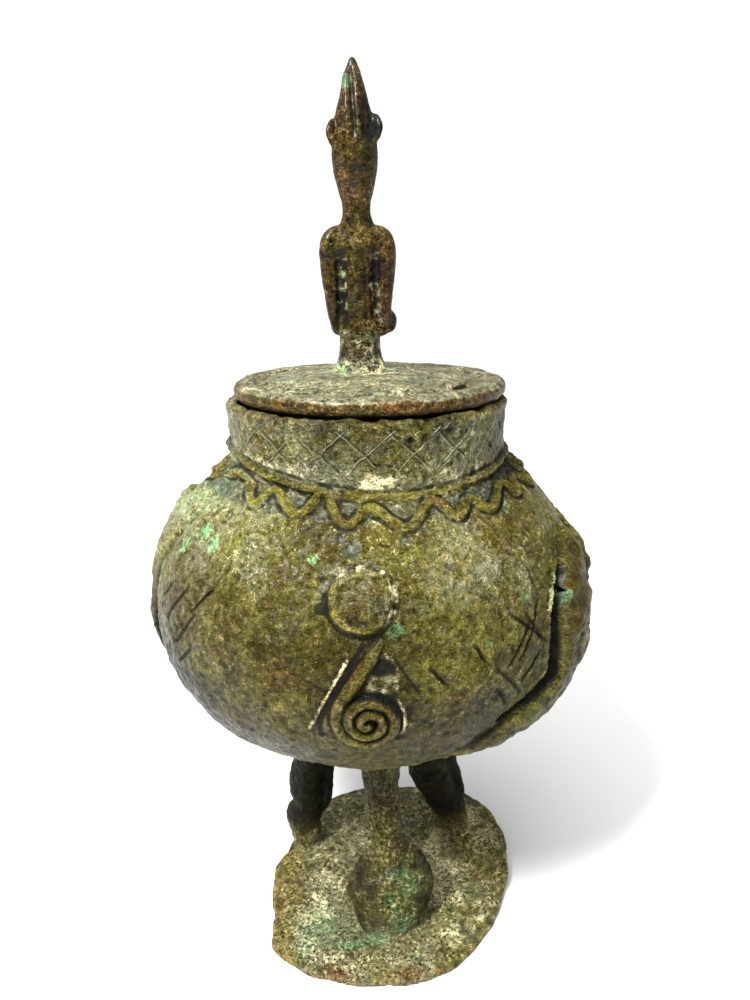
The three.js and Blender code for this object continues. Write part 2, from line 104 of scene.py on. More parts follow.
# Lid and figure
LID_RADIUS = 56.4
LID_EDGE_THICKNESS = 7.0
LID_GAP = 0.3
LID_TOP = RIM + LID_GAP + LID_EDGE_THICKNESS
LID_SHIFT = (1.5, 0.8)
LID_DOME_RISE = 3.4
FIGURE_FOOT = LID_TOP + LID_DOME_RISE
FIGURE_HEIGHT = TOTAL_HEIGHT - FIGURE_FOOT
FIGURE_SHIFT = (-3.6, -1.0)
FIGURE_LEAN = 1.0

# Ornament on the belly. The back repeats the boss and the coil of the front
BOSS_HEIGHT = NECK_FOOT - 28.5
BOSS_AZIMUTHS = (-1.2, 180.0)
COIL_HEIGHT = NECK_FOOT - 69.5
COIL_AZIMUTHS = (-0.6, 180.0)
COIL_RADIUS = 11.2
COIL_TURNS = 2.3
DEGREE_AT_BELLY = math.radians(1) * BELLY_RADIUS
# Half width and height of each cord
ZIGZAG_SIZE = (1.75, 2.5)
RING_SIZE = (1.7, 2.1)
# The crack beside the creature at the right, painted dark as the shadow in it: azimuth, height and half width
# down its length
CREVICE = (
    (57.8, 196, 1.4), (53, 189, 2.5), (49.5, 180, 3.6), (48.8, 168, 3.9), (48.2, 159.5, 3.4), (43, 154, 2.6),
    (38, 150.5, 2.2), (32.6, 147, 1.4),
)
CREVICE_DEPTH = 4.0
# Cut strokes: azimuth and height of their two ends, then their half width and depth
INCISIONS = (
    (-49.7, 194.8, -57.7, 178.8), (-40, 197.7, -46, 187), (-56, 169, -60, 160), (-46, 172, -51, 164.5),
    (43.4, 202, 44.4, 195.4), (39.6, 187, 43.5, 175.4), (43.4, 171.4, 36.9, 163.2), (40.3, 184.8, 32.9, 171.6),
    (23.8, 182.9, 26.5, 174.6), (29.4, 163.4, 32.4, 155.9), (44.5, 190, 36, 172), (34, 190, 45.5, 174),
    (29, 172, 37, 158), (-45, 186, -52, 172), (-58, 192, -63, 184), (13, 178, 17, 170),
)
INCISION_SIZE = (0.75, 0.5)
# Lozenges on the neck: width in degrees, then height and place of their band in millimetres
LOZENGE_WIDTH = 17.0
LOZENGE_HEIGHT = 15.5
LOZENGE_BAND = (236.5, 238.5, 252.5, 253.5)

# Deposits: the layers that the materials read, where the dark layer holds both soot and painted shadow, and the
# last layer, partly painted light and shade and partly the patina's own tone, which lightens above 0 and darkens
# below it
LAYERS = ("dark", "cream", "green", "slate", "rust", "worn", "bloom", "light_and_tone")
# Painted light and shade by height, partly the patina's own tone: lighter on the upward-facing shoulder, darker
# towards the bottom and on the neck
LIGHT_AND_TONE_BY_HEIGHT = (
    (105, -1.3), (140, -1.2), (160, -1.0), (180, -0.65), (198, -0.25), (215, 0.65), (228, 0.65), (237, -0.7),
    (260, -0.95),
)
# Spots on the belly: strength in each layer, then azimuth, height and radius of each spot
BELLY_SPOTS = (
    ({"green": 0.62}, (
        (-46.9, 210, 6), (-53.7, 212.6, 5), (-13.5, 212, 3.2), (27.7, 182.5, 2.6), (39.4, 193, 3.2),
        (53.6, 187, 5), (47.6, 222, 7), (36, 226, 7), (-60, 205, 6), (150, 200, 9), (-130, 190, 10),
        (120, 160, 6), (-155, 215, 8), (-70, 190, 5),
    )),
    ({"cream": 0.07, "bloom": 0.3}, (
        (-31.4, 209, 13), (-27.8, 202, 10), (-14.3, 196.6, 1.8), (42, 205, 10), (31, 204, 9), (140, 205, 13),
        (-150, 196, 11),
    )),
    ({"rust": 0.27, "worn": 0.15}, (
        (19.2, 206, 13), (27, 209, 9), (-16.9, 169.6, 15), (30, 192, 17), (20, 170, 16), (-20, 175, 12),
        (-36, 185, 14),
    )),
    ({"dark": 0.6}, (
        (-10.6, 197.6, 3), (47, 204.8, 3), (30, 175, 5), (-15.7, 180.8, 4), (24, 190, 3), (39, 176, 4),
    )),
)
GREY_SPOTS = ((-3.8, 215, 5.5), (10.5, 217, 3.6), (-7.3, 218, 3.4))

# Each skin's finish: how metallic, how strongly its grain is painted darker in the hollows and lighter on the
# peaks as shade and highlight, strengths of pale and dark grains, the grains' size, the bump's depth in
# millimetres, and the handled gloss
BELLY_FINISH = {
    "gleam": 0.75, "grain_shading": 1.3, "speckle": 0.05, "sooty": 0.6,
    "fineness": 0.85, "depth": 4.0, "lacquer": 0.06,
}
FEET_FINISH = {
    "gleam": 0.45, "grain_shading": 1.5, "speckle": 0.5, "sooty": 0.8,
    "fineness": 0.62, "depth": 3.2, "lacquer": 0.03,
}
LID_FINISH = {
    "gleam": 0.9, "grain_shading": 1.7, "speckle": 0.05, "sooty": 0.85,
    "fineness": 0.9, "depth": 3.6, "lacquer": 0.2,
}
# Layers in the order in which the materials lay them on: cover at most, and the colour's setting
DEPOSITS = (
    ("bloom", 0.6, "pale_green"), ("slate", 0.85, "slate"), ("worn", 0.7, "gold"), ("rust", 0.7, "rust"),
    ("cream", 0.9, "cream"), ("green", 0.68, "malachite"),
)

# Camera: place in millimetres, downward pitch and roll in degrees, lens and sensor in millimetres
CAMERA_PLACE = (3.1, -305.0, 306.5)
CAMERA_PITCH = 17.7
CAMERA_ROLL = -0.8
CAMERA_LENS = 26.0
SENSOR_HEIGHT = 36.0

# Stage: sizes and places in metres, angles in degrees
FLOOR_REACH = 6.0
FLOOR_COLOUR = (0.70, 0.70, 0.69)
FLOOR_ROUGHNESS = 0.9
WORLD_AS_LIGHT = 0.36
WORLD_TO_CAMERA = 1.05
SUN_POWER = 3.8
SUN_SPREAD = 70
SUN_DIRECTION = (0.2, 0.25, -1)
KEY_PLACE = (-0.45, -0.6, 1.05)
KEY_TARGET = (0, 0, 0.2)
KEY_SIZE = 0.2
KEY_POWER = 34


class PotSettings(bpy.types.PropertyGroup):
    """Sizes and colours of the pot that a user would change"""

    relief_scale: bpy.props.FloatProperty(
        name="Relief", description="Scale of the raised ornament on the belly", default=1.0, min=0.3, max=1.5
    )
    pitting: bpy.props.FloatProperty(
        name="Pitting", description="Depth of the cast surface's pits", default=1.0, min=0.0, max=2.0
    )
    foot_grain: bpy.props.FloatProperty(
        name="Foot grain", description="Size of one cell of the feet's surface", default=0.00095, min=0.0006,
        unit="LENGTH",
    )
    lid_grain: bpy.props.FloatProperty(
        name="Lid grain", description="Size of one cell of the lid's surface", default=0.0007, min=0.0004,
        unit="LENGTH",
    )
    bronze: bpy.props.FloatVectorProperty(
        name="Bronze", description="Olive bronze of the worn skin", subtype="COLOR",
        default=(0.138, 0.126, 0.019)
    )
    brown: bpy.props.FloatVectorProperty(
        name="Brown", description="Dark brown of the old skin", subtype="COLOR",
        default=(0.072, 0.058, 0.007)
    )
    copper: bpy.props.FloatVectorProperty(
        name="Copper", description="Warm brown of the handled figure", subtype="COLOR",
        default=(0.105, 0.048, 0.012)
    )
    gold: bpy.props.FloatVectorProperty(
        name="Gold", description="Bare metal on worn edges", subtype="COLOR",
        default=(0.34, 0.25, 0.05)
    )
    pale_green: bpy.props.FloatVectorProperty(
        name="Pale green", description="Powdery green-grey bloom", subtype="COLOR",
        default=(0.29, 0.30, 0.19)
    )
    malachite: bpy.props.FloatVectorProperty(
        name="Malachite", description="Bright green corrosion", subtype="COLOR",
        default=(0.085, 0.24, 0.10)
    )
    cream: bpy.props.FloatVectorProperty(
        name="Cream", description="Chalky cream crust", subtype="COLOR",
        default=(0.66, 0.60, 0.33)
    )
    # Near-black for soot in the crevices and also for painted shade and shadow
    soot_and_shade: bpy.props.FloatVectorProperty(
        name="Soot", description="Near-black dirt in the crevices", subtype="COLOR",
        default=(0.004, 0.005, 0.0015)
    )
    slate: bpy.props.FloatVectorProperty(
        name="Slate", description="Grey deposit", subtype="COLOR",
        default=(0.030, 0.034, 0.026)
    )
    rust: bpy.props.FloatVectorProperty(
        name="Rust", description="Orange-brown stain", subtype="COLOR",
        default=(0.155, 0.062, 0.012)
    )


def azimuth_direction(azimuth):
    """Unit vectors (sin a, -cos a, 0) that point out from the axis, one for each azimuth in degrees."""
    a = np.radians(azimuth)
    return np.stack([np.sin(a), -np.cos(a), np.zeros_like(a)], -1)


def ease(value, low, high):
    """0 below low, 1 above high, and 3t^2 - 2t^3 between."""
    t = np.clip((value - low) / (high - low), 0, 1)
    return t * t * (3 - 2 * t)


def lattice_value(cell, seed):
    """A fixed number in -1..1 for each whole-number cell, from a hash of its coordinates."""
    h = cell[..., 0] * 73856093 ^ cell[..., 1] * 19349663 ^ cell[..., 2] * 83492791 ^ (seed * 2654435761)
    h = (h ^ (h >> 13)) * 1274126177 & 0xFFFFFFFF
    h = (h ^ (h >> 15)) * 2246822519 & 0xFFFFFFFF
    return (h >> 8 & 0xFFFF) / 32767.5 - 1


def bell(value, middle, width):
    """1 at the middle value, falling on both sides as exp(-((value - middle) / width)^2)."""
    return np.exp(-(((value - middle) / width) ** 2))


def lumps(points, size, seed):
    """Smooth noise in -1..1: values at the corners of a cubic lattice of the given size, eased between them."""
    p = points / size + 31.7
    cell = np.floor(p).astype(np.int64)
    f = p - cell
    f = f * f * (3 - 2 * f)
    total = np.zeros(points.shape[:-1])
    for corner in np.ndindex(2, 2, 2):
        weight = np.prod(np.where(corner, f, 1 - f), axis=-1)
        total += weight * lattice_value(cell + np.array(corner), seed)
    return total


def rough(points, size, octaves, seed):
    """A sum of lumps, each octave half as large and 0.55 as high as the last."""
    total = np.zeros(points.shape[:-1])
    height = 1.0
    for octave in range(octaves):
        total += height * lumps(points, size / 2**octave, seed + octave)
        height *= 0.55
    return total


def pits(points, size, share, seed):
    """Round pits: 1 at a pit's centre falling to 0 at its edge, with at most one in each lattice cell."""
    p = points / size + 11.3
    cell = np.floor(p).astype(np.int64)
    deepest = np.zeros(points.shape[:-1])
    for step in np.ndindex(3, 3, 3):
        near = cell + np.array(step) - 1
        centre = near + 0.5 + 0.35 * np.stack([lattice_value(near, seed + k) for k in (1, 2, 3)], -1)
        present = lattice_value(near, seed + 4) < 2 * share - 1
        radius = 0.28 + 0.12 * lattice_value(near, seed + 5)
        d = np.linalg.norm(p - centre, axis=-1) / radius
        deepest = np.maximum(deepest, np.where(present, np.clip(1 - d * d, 0, 1), 0))
    return deepest


def spline(stations, count):
    """Points on a smooth curve through the stations: cubic pieces with the mean slope at each station."""
    knots = np.asarray(stations, float)
    slopes = np.gradient(knots, axis=0)
    t = np.linspace(0, len(knots) - 1, count)
    i = np.minimum(t.astype(int), len(knots) - 2)
    f = (t - i)[:, None]
    start = (2 * f**3 - 3 * f**2 + 1) * knots[i] + (f**3 - 2 * f**2 + f) * slopes[i]
    return start + (3 * f**2 - 2 * f**3) * knots[i + 1] + (f**3 - f**2) * slopes[i + 1]


def oval_radius(z, inset=0.0):
    """Radius of the belly's oval at a height: R (1 - (h / H)^p)^(1 / p), with other H and p below the equator."""
    upper = z > EQUATOR
    half = np.where(upper, BELLY_UPPER_HEIGHT, BELLY_LOWER_HEIGHT) - inset
    power = np.where(upper, BELLY_UPPER_POWER, BELLY_LOWER_POWER)
    share = np.clip(np.abs(z - EQUATOR) / half, 0, 1)
    return (BELLY_RADIUS - inset) * (1 - share**power) ** (1 / power)


def wall_points(azimuth, z):
    """Points on the outside of the belly or neck."""
    azimuth, z = np.asarray(azimuth, float), np.asarray(z, float)
    radius = np.maximum(oval_radius(z), np.where(z > NECK_FOOT, NECK_RADIUS, 0))
    points = azimuth_direction(azimuth) * radius[..., None]
    points[..., 2] = z
    return points


def strand(base, stations, looped=False):
    """Relief of a rounded strand: height * sqrt(1 - (d / w)^2) at a distance d from its line of half width w.

    Stations are azimuth, z, half width and height. The second result is d - w, the distance past the edge."""
    stations = np.asarray(stations, float)
    line = wall_points(stations[:, 0], stations[:, 1])
    relief = np.zeros(len(base))
    edge = np.full(len(base), 99.0)
    count = len(stations)
    for k in range(count if looped else count - 1):
        n = (k + 1) % count
        a, ab = line[k], line[n] - line[k]
        reach = stations[k, 2] + stations[n, 2] + np.linalg.norm(ab) + 8
        near = np.flatnonzero(np.abs(base - a).max(-1) < reach)
        offset = base[near] - a
        t = np.clip(offset @ ab / max(ab @ ab, 1e-9), 0, 1)
        d = np.linalg.norm(offset - t[:, None] * ab, axis=-1)
        width = stations[k, 2] + (stations[n, 2] - stations[k, 2]) * t
        height = stations[k, 3] + (stations[n, 3] - stations[k, 3]) * t
        rise = height * np.sqrt(np.clip(1 - (d / width) ** 2, 0, 1))
        relief[near] = np.maximum(relief[near], rise)
        edge[near] = np.minimum(edge[near], d - width)
    return relief, edge


def blob(points, azimuth, z, radius):
    """1 at a spot on the wall, falling smoothly to 0 at the given distance from it."""
    d = np.linalg.norm(points - wall_points(azimuth, z), axis=-1)
    return 1 - ease(d, 0.35 * radius, radius)


def add_mesh(name, vertices, faces, layers=None):
    """A smooth mesh object from millimetre vertices, with one value per vertex in each named layer."""
    mesh = bpy.data.meshes.new(name)
    mesh.from_pydata((vertices * MM).tolist(), [], faces)
    mesh.polygons.foreach_set("use_smooth", np.ones(len(mesh.polygons), bool))
    for label, values in (layers or {}).items():
        layer = mesh.attributes.new(label, "FLOAT", "POINT")
        layer.data.foreach_set("value", np.ascontiguousarray(values, np.float32))
    mesh.update()
    piece = bpy.data.objects.new(name, mesh)
    bpy.context.scene.collection.objects.link(piece)
    return piece


def grid_faces(rows, columns, closed_rows=False):
    """Quads between neighbouring rows of a grid whose columns close on themselves."""
    r = np.arange(rows if closed_rows else rows - 1)[:, None]
    c = np.arange(columns)[None, :]
    below, above = r * columns, (r + 1) % rows * columns
    right = (c + 1) % columns
    return np.stack([below + c, below + right, above + right, above + c], -1).reshape(-1, 4)


def capped_grid(rings, looped=False):
    """Vertices and faces of rings of points, with a fan at each end, or the last ring joined to the first."""
    rows, columns = rings.shape[:2]
    if looped:
        return rings.reshape(-1, 3), grid_faces(rows, columns, True).tolist()
    vertices = np.concatenate([rings.reshape(-1, 3), rings[:1].mean(1), rings[-1:].mean(1)])
    c = np.arange(columns)
    right = (c + 1) % columns
    first = np.stack([right, c, np.full(columns, rows * columns)], -1)
    last = np.stack([c, right, np.full(columns, rows * columns + 1)], -1)
    last[:, :2] += (rows - 1) * columns
    return vertices, grid_faces(rows, columns).tolist() + first.tolist() + last.tolist()


def limb(stations, width_direction, steps=40, sides=28):
    """A smooth limb: ellipses carried along a curve. Stations are x, y, z, half width and half depth."""
    line = spline(stations, steps)
    tangent = np.gradient(line[:, :3], axis=0)
    tangent /= np.linalg.norm(tangent, axis=1)[:, None]
    wanted = np.asarray(width_direction, float)
    across = wanted - (tangent @ wanted)[:, None] * tangent
    across /= np.linalg.norm(across, axis=1)[:, None]
    up = np.cross(tangent, across)
    angle = np.linspace(0, 2 * math.pi, sides, endpoint=False)[None, :, None]
    size = np.maximum(line[:, 3:5], 0.2)[:, None, :]
    rings = line[:, None, :3] + across[:, None] * size[..., :1] * np.cos(angle)
    rings = rings + up[:, None] * size[..., 1:] * np.sin(angle)
    return capped_grid(rings)


def ball(centre, radii, turn=0.0, sides=20):
    """An ellipsoid with the given half-axes, turned by an angle in degrees about Z."""
    u = np.linspace(0.04, math.pi - 0.04, sides // 2)[:, None]
    v = np.linspace(0, 2 * math.pi, sides, endpoint=False)[None, :]
    rings = np.stack([np.sin(u) * np.cos(v), np.sin(u) * np.sin(v), -np.cos(u) + 0 * v], -1) * np.asarray(radii)
    c, s = math.cos(math.radians(turn)), math.sin(math.radians(turn))
    rings = rings @ np.array([[c, s, 0], [-s, c, 0], [0, 0, 1]]) + np.asarray(centre)
    return capped_grid(rings)


def fuse(name, shapes, cell, smoothing):
    """One skin round overlapping closed shapes: a voxel remesh of their union, then a few smoothing passes."""
    vertices, faces, start = [], [], 0
    for points, polygons in shapes:
        vertices.append(points)
        faces += [[start + i for i in polygon] for polygon in polygons]
        start += len(points)
    draft = add_mesh(name + "_draft", np.concatenate(vertices), faces)
    remesh = draft.modifiers.new("skin", "REMESH")
    remesh.mode = "VOXEL"
    remesh.voxel_size = cell
    settle = draft.modifiers.new("settle", "SMOOTH")
    settle.factor = 0.5
    settle.iterations = smoothing
    evaluated = draft.evaluated_get(bpy.context.evaluated_depsgraph_get())
    mesh = bpy.data.meshes.new_from_object(evaluated)
    mesh.name = name
    draft_mesh = draft.data
    bpy.data.objects.remove(draft)
    bpy.data.meshes.remove(draft_mesh)
    piece = bpy.data.objects.new(name, mesh)
    bpy.context.scene.collection.objects.link(piece)
    mesh.polygons.foreach_set("use_smooth", np.ones(len(mesh.polygons), bool))
    return piece


def read_skin(mesh):
    """The mesh's vertices in millimetres and their normals."""
    points = np.empty(len(mesh.vertices) * 3, np.float32)
    normals = np.empty_like(points)
    mesh.vertices.foreach_get("co", points)
    mesh.vertex_normals.foreach_get("vector", normals)
    return points.reshape(-1, 3).astype(float) / MM, normals.reshape(-1, 3).astype(float)


def write_skin(mesh, points, layers):
    """Puts moved vertices back into the mesh, with one value per vertex in each named layer."""
    mesh.vertices.foreach_set("co", np.ascontiguousarray(points * MM, np.float32).ravel())
    for label, values in layers.items():
        layer = mesh.attributes.new(label, "FLOAT", "POINT")
        layer.data.foreach_set("value", np.ascontiguousarray(values, np.float32))
    mesh.update()


def in_range(layers):
    """Deposits held to 0..1.5. The layer of painted light and tone is left as it is, since it darkens where it is
    negative.
    """
    return {label: values if label == "light_and_tone" else np.clip(values, 0, 1.5) for label, values in layers.items()}


def belly_profile():
    """Radius and height along the wall's section, from the bottom outside, over the rim, to the bottom inside.

    The third result is 1 outside and 0 inside, and the fourth the wanted spacing of rows there."""
    t = np.linspace(0, math.pi / 2, 300)
    low_power, high_power = 2 / BELLY_LOWER_POWER, 2 / BELLY_UPPER_POWER

    def oval(inset, neck):
        lower = np.stack([
            (BELLY_RADIUS - inset) * np.sin(t) ** low_power,
            EQUATOR - (BELLY_LOWER_HEIGHT - inset) * np.cos(t) ** low_power,
        ], -1)
        upper = np.stack([
            (BELLY_RADIUS - inset) * np.cos(t) ** high_power,
            EQUATOR + (BELLY_UPPER_HEIGHT - inset) * np.sin(t) ** high_power,
        ], -1)
        return np.concatenate([lower, upper[1:][upper[1:, 0] > neck]])

    bore = NECK_RADIUS - NECK_WALL
    outside = oval(0, NECK_RADIUS)
    inside = oval(BELLY_WALL, bore)
    height = np.linspace(outside[-1, 1] + 0.3, RIM - RIM_ROUND, 60)
    waist = NECK_RADIUS - 0.6 * np.sin(math.pi * (height - NECK_FOOT) / (RIM - NECK_FOOT))
    neck = np.stack([waist, height], -1)
    turn = np.linspace(0, math.pi, 40)
    middle = (NECK_RADIUS + bore) / 2
    rim = np.stack([
        middle + NECK_WALL / 2 * np.cos(turn),
        RIM - RIM_ROUND + RIM_ROUND * np.sin(turn) ** 0.7,
    ], -1)
    bore_wall = np.stack([np.full(30, bore), np.linspace(RIM - RIM_ROUND, inside[-1, 1] + 0.3, 30)], -1)
    outer = np.concatenate([outside, neck[:-1], rim])
    line = np.concatenate([outer, bore_wall[1:], inside[::-1]])
    is_outer = (np.arange(len(line)) < len(outer)).astype(float)
    z = line[:, 1]
    spacing = np.select(
        [is_outer < 0.5, z > NECK_FOOT + 12, z > NECK_FOOT - 14, z > EQUATOR - 25, z > EQUATOR - 34],
        [16.0, 0.9, 0.58, 0.72, 1.2],
        2.0,
    )
    return line, is_outer, spacing


def resample(line, is_outer, spacing):
    """Rows along the section, closer together where the spacing is small."""
    step = np.linalg.norm(np.diff(line, axis=0), axis=1)
    rate = np.concatenate([[0], np.cumsum(step / (0.5 * (spacing[1:] + spacing[:-1])))])
    rows = np.linspace(0, rate[-1], int(rate[-1]) + 1)
    r, z, side = (np.interp(rows, rate, v) for v in (line[:, 0], line[:, 1], is_outer))
    return r, z, side > 0.5


def belly_columns():
    """Azimuths of the columns, closest where the hook and coil are, at the front and at the back."""
    fine = np.linspace(-180, 180, 3601)
    back = np.minimum(np.abs(fine - 180), np.abs(fine + 180))
    spacing = 0.60 + 0.42 * ease(np.abs(fine), 92, 105) - 0.27 * (1 - ease(np.abs(fine), 9, 17))
    spacing -= 0.5 * (1 - ease(back, 9, 17)) + 0.22 * ease(fine, 38, 43) * (1 - ease(fine, 58, 63))
    rate = np.concatenate([[0], np.cumsum(0.1 / spacing[:-1])])
    count = int(rate[-1])
    return np.interp(np.arange(count) * rate[-1] / count, rate, fine)


def zigzag_stations():
    """The zigzag cord: its laid teeth at the front, and even teeth round the back."""
    front = [
        (-77, 224), (-66, 229), (-54, 231.5), (-40, 224.2), (-34, 229), (-22, 223.6), (-15, 230), (-6, 221.6),
        (1.5, 226.2), (11.6, 220.4), (22, 227), (28, 221.4), (36, 225.4), (42, 221.4), (56, 226.5), (61, 222),
        (70, 226), (77, 221),
    ]
    back = []
    teeth = 11
    for k in range(1, 2 * teeth):
        azimuth = 77 + (283 - 77) * k / (2 * teeth)
        back.append((azimuth, 225.4 + 3.4 * (1 if k % 2 else -1)))
    line = spline(np.array(front + back + [(283, 224)], float), 420)[:-1]
    return np.column_stack([line, *(np.full(len(line), size) for size in ZIGZAG_SIZE)])


def ring_stations():
    """The wavy ring at the foot of the neck: two long waves round, and higher on the left."""
    azimuth = np.linspace(-180, 180, 120, endpoint=False)
    wave = np.radians(azimuth - 8)
    z = NECK_FOOT + 4 * (0.8 - np.cos(2 * wave)) - 2.0 * np.sin(wave)
    return np.column_stack([azimuth, z, *(np.full(len(azimuth), size) for size in RING_SIZE)])


def coil_stations(azimuth):
    """The stem below the boss, and the flat spiral that it winds into, leftwards and down."""
    share = np.linspace(0, 1, 70)
    angle = math.radians(168) + 2 * math.pi * COIL_TURNS * share
    reach = COIL_RADIUS * (1 - 0.87 * share)
    spiral = np.column_stack([
        azimuth + 0.5 + np.cos(angle) * reach / DEGREE_AT_BELLY,
        COIL_HEIGHT + np.sin(angle) * reach,
        2.35 - 0.65 * share,
        2.5 + 0.5 * share,
    ])
    stem = spline([
        (azimuth + 3.4, NECK_FOOT - 41.5, 1.2, 0.8),
        (azimuth + 1.0, NECK_FOOT - 47, 2.5, 2.3),
        (azimuth - 2.4, NECK_FOOT - 55, 2.7, 2.8),
        (azimuth - 5.3, NECK_FOOT - 62, 2.7, 2.7),
        spiral[0],
    ], 24)
    return np.concatenate([stem[:-1], spiral])


# Creatures: stations of the body and of two legs, with heights counted from the equator
RIGHT_LIZARD = (
    (
        (71, 38, 3, 2.5), (67, 29, 10, 5), (61.5, 16, 15, 6.5), (60, 3, 15, 6.5), (58, -8, 13, 6),
        (52, -17, 12, 5.5), (44, -23, 10.5, 4.8), (36, -28, 8.5, 4), (24, -34, 3, 1.5),
    ),
    ((70, 20, 4, 5), (80, 24, 3.5, 4.5), (87, 30, 3, 3), (90, 37, 2.5, 1.5)),
    ((66, -4, 4, 6), (76, -10, 3.5, 4.5), (84, -10, 3, 3), (89, -4, 2.5, 1.5)),
)
LEFT_LIZARD = (
    (
        (-68, 63, 3, 2), (-72, 55, 9, 3.5), (-77, 44, 12.5, 4), (-81, 33, 12, 4), (-84, 22, 10, 4),
        (-84, 10, 8, 4), (-82, -2, 7, 4), (-79, -12, 4, 3), (-75, -19, 2, 1),
    ),
    ((-84, 44, 3.5, 4), (-96, 46, 3.2, 4), (-104, 40, 3, 3), (-105, 32, 3, 2)),
    ((-84, 10, 3.5, 4), (-93, 2, 3.2, 3.5), (-101, 4, 3, 2.5), (-106, 10, 2.5, 1.5)),
)


def raised(stations, lift=EQUATOR):
    """Stations whose heights count from the equator."""
    return [(a, z + lift, w, h) for a, z, w, h in stations]


def lizard_relief(base, lizard):
    """Relief of a lizard, its body and two legs, and the distance past its edge."""
    relief, edge = strand(base, spline(raised(lizard[0]), 60))
    for stations in lizard[1:]:
        rise, leg_edge = strand(base, spline(raised(stations), 24))
        relief = np.maximum(relief, rise)
        edge = np.minimum(edge, leg_edge)
    return relief, edge


def groove(base, line, half_width, depth):
    """A cut along a line of (azimuth, z) points, as a negative relief, with its own 0..1 mask."""
    stations = [(a, z, half_width, 1.0) for a, z in line]
    mask = strand(base, spline(stations, 8 * len(line)))[0]
    return -depth * mask, mask


def boss_relief(base, azimuth):
    """A flat-topped boss with a steep edge, a sunk ring near its rim, and a proud lip at its lower left."""
    centre = wall_points(azimuth, BOSS_HEIGHT)
    right = np.array([math.cos(math.radians(azimuth)), math.sin(math.radians(azimuth)), 0])
    u = (base - centre) @ right
    d = np.linalg.norm(base - centre, axis=-1)
    v = np.where(base[:, 2] > centre[2], 1, -1) * np.sqrt(np.clip(d * d - u * u, 0, None))
    corner = -(u + v) / (1.414 * 11.8)
    wobble = 0.5 * lumps(base, 6.0, 41)
    relief = 2.7 * (1 - ease(d + wobble, 10.2, 12.0))
    relief += 0.9 * ease(corner, -0.1, 0.8) * (1 - ease(np.abs(d - 9.8), 0.8, 2.2))
    relief -= 1.3 * ease(-corner, -0.15, 0.5) * (1 - ease(np.abs(d - 10.4 + wobble), 0.5, 1.5))
    return relief, d, corner


class Wall:
    """The outer wall while its relief, in millimetres, and its deposits and painted light and shade are laid on,
    all in place.
    """

    def __init__(self, base):
        self.base = base
        self.azimuth = np.degrees(np.arctan2(base[:, 0], -base[:, 1]))
        self.z = base[:, 2]
        self.fine = rough(base, 3.2, 3, 5)
        self.relief = np.zeros(len(base))
        self.layer = {label: np.zeros(len(base)) for label in LAYERS}

    def parts(self):
        return self.base, self.azimuth, self.z, self.fine, self.relief, self.layer


def lay_cords(wall):
    """The ring and the zigzag, rolled cords with a cut beside them, painted dark as dirt and shadow. Gives 1 on a
    cord and 0 off it.
    """
    base, azimuth, z, fine, relief, layer = wall.parts()
    ring, ring_edge = strand(base, ring_stations(), looped=True)
    zigzag, zigzag_edge = strand(base, zigzag_stations(), looped=True)
    bands = np.maximum(ring, zigzag) * (0.82 + 0.28 * lumps(base, 4.5, 12) + 0.1 * fine)
    cord_edge = np.minimum(ring_edge, zigzag_edge)
    np.maximum(relief, bands, out=relief)
    # The cuts beside the cords, sunk and painted dark: dirt in the cut, and painted shadow along the cords
    undercut = bell(zigzag_edge, 0.7, 0.8) * (0.75 + 0.5 * fine)
    ring_cut = bell(ring_edge, 0.7, 0.8) * (0.6 + 0.5 * fine)
    relief -= 1.0 * undercut + 0.7 * ring_cut
    layer["dark"] += 1.25 * undercut + 0.8 * ring_cut
    layer["cream"] += 0.3 * bell(cord_edge, 1.6, 1.2) * (0.7 + 0.6 * fine)
    layer["worn"] += 0.14 * ease(bands, 1.2, 2.1) * (0.7 + 0.5 * fine)

    between = (1 - ease(z, 231, 236)) * ease(z, 221, 224) * ease(cord_edge, 0.2, 1.6)
    layer["slate"] += between * (1.0 + 0.3 * lumps(base, 9, 23))
    layer["dark"] += between * (0.22 + 0.3 * fine)
    collar = ease(z, 229, 233) * (1 - ease(z, 236, 243)) * ease(ring_edge, -0.4, 1.0)
    chalk = 0.34 + 0.5 * lumps(base, 7, 77) + 0.3 * fine
    layer["cream"] += collar * chalk * (1 - 0.7 * ease(azimuth, 20, 60))
    layer["rust"] += collar * (0.12 + 0.5 * lumps(base, 5, 78))
    layer["dark"] += collar * (0.25 + 0.4 * lumps(base, 4, 79))
    layer["bloom"] += 0.3 * collar
    layer["green"] += 0.3 * ease(-azimuth, 38, 60) * (1 - ease(z, 236, 240)) * ease(z, 200, 214)
    return ease(bands, 0.6, 1.6)


def raise_bosses(wall):
    """The bosses, crusted within their rims, with a cut round each painted dark as its shadow, and a dark notch
    beside each.
    """
    base, fine, relief, layer = wall.base, wall.fine, wall.relief, wall.layer
    for side in BOSS_AZIMUTHS:
        boss, d, corner = boss_relief(base, side)
        np.maximum(relief, boss, out=relief)
        rim = bell(d, 11.2, 1.4)
        upper_right = ease(-corner, -0.45, 0.3)
        layer["cream"] += rim * upper_right * (0.55 + 0.5 * fine)
        layer["dark"] += rim * upper_right * (0.5 - 0.6 * fine)
        layer["worn"] += 0.6 * bell(d, 10.0, 1.4) * ease(corner, 0.1, 0.6)
        # The cut round the boss, painted dark as the boss's shadow, strongest at the lower left
        under = bell(d, 12.7, 0.8) * (0.55 + 0.45 * ease(corner, -0.2, 0.6))
        layer["dark"] += 0.9 * under
        relief -= 1.1 * under
        inside = 1 - ease(d, 7, 10)
        relief += inside * 0.45 * rough(base, 4.5, 3, 52)
        layer["slate"] += 0.42 * inside * (0.8 + 0.6 * fine)
        layer["dark"] += inside * (0.34 - 0.5 * lumps(base, 4.0, 53))
        layer["rust"] += 0.3 * inside
        layer["green"] += 0.9 * blob(base, side + 7.2, 191.5, 4.2)
        notch = blob(base, side - 8.8, 199, 5.5)
        layer["dark"] += 0.62 * notch
        relief -= 0.6 * notch


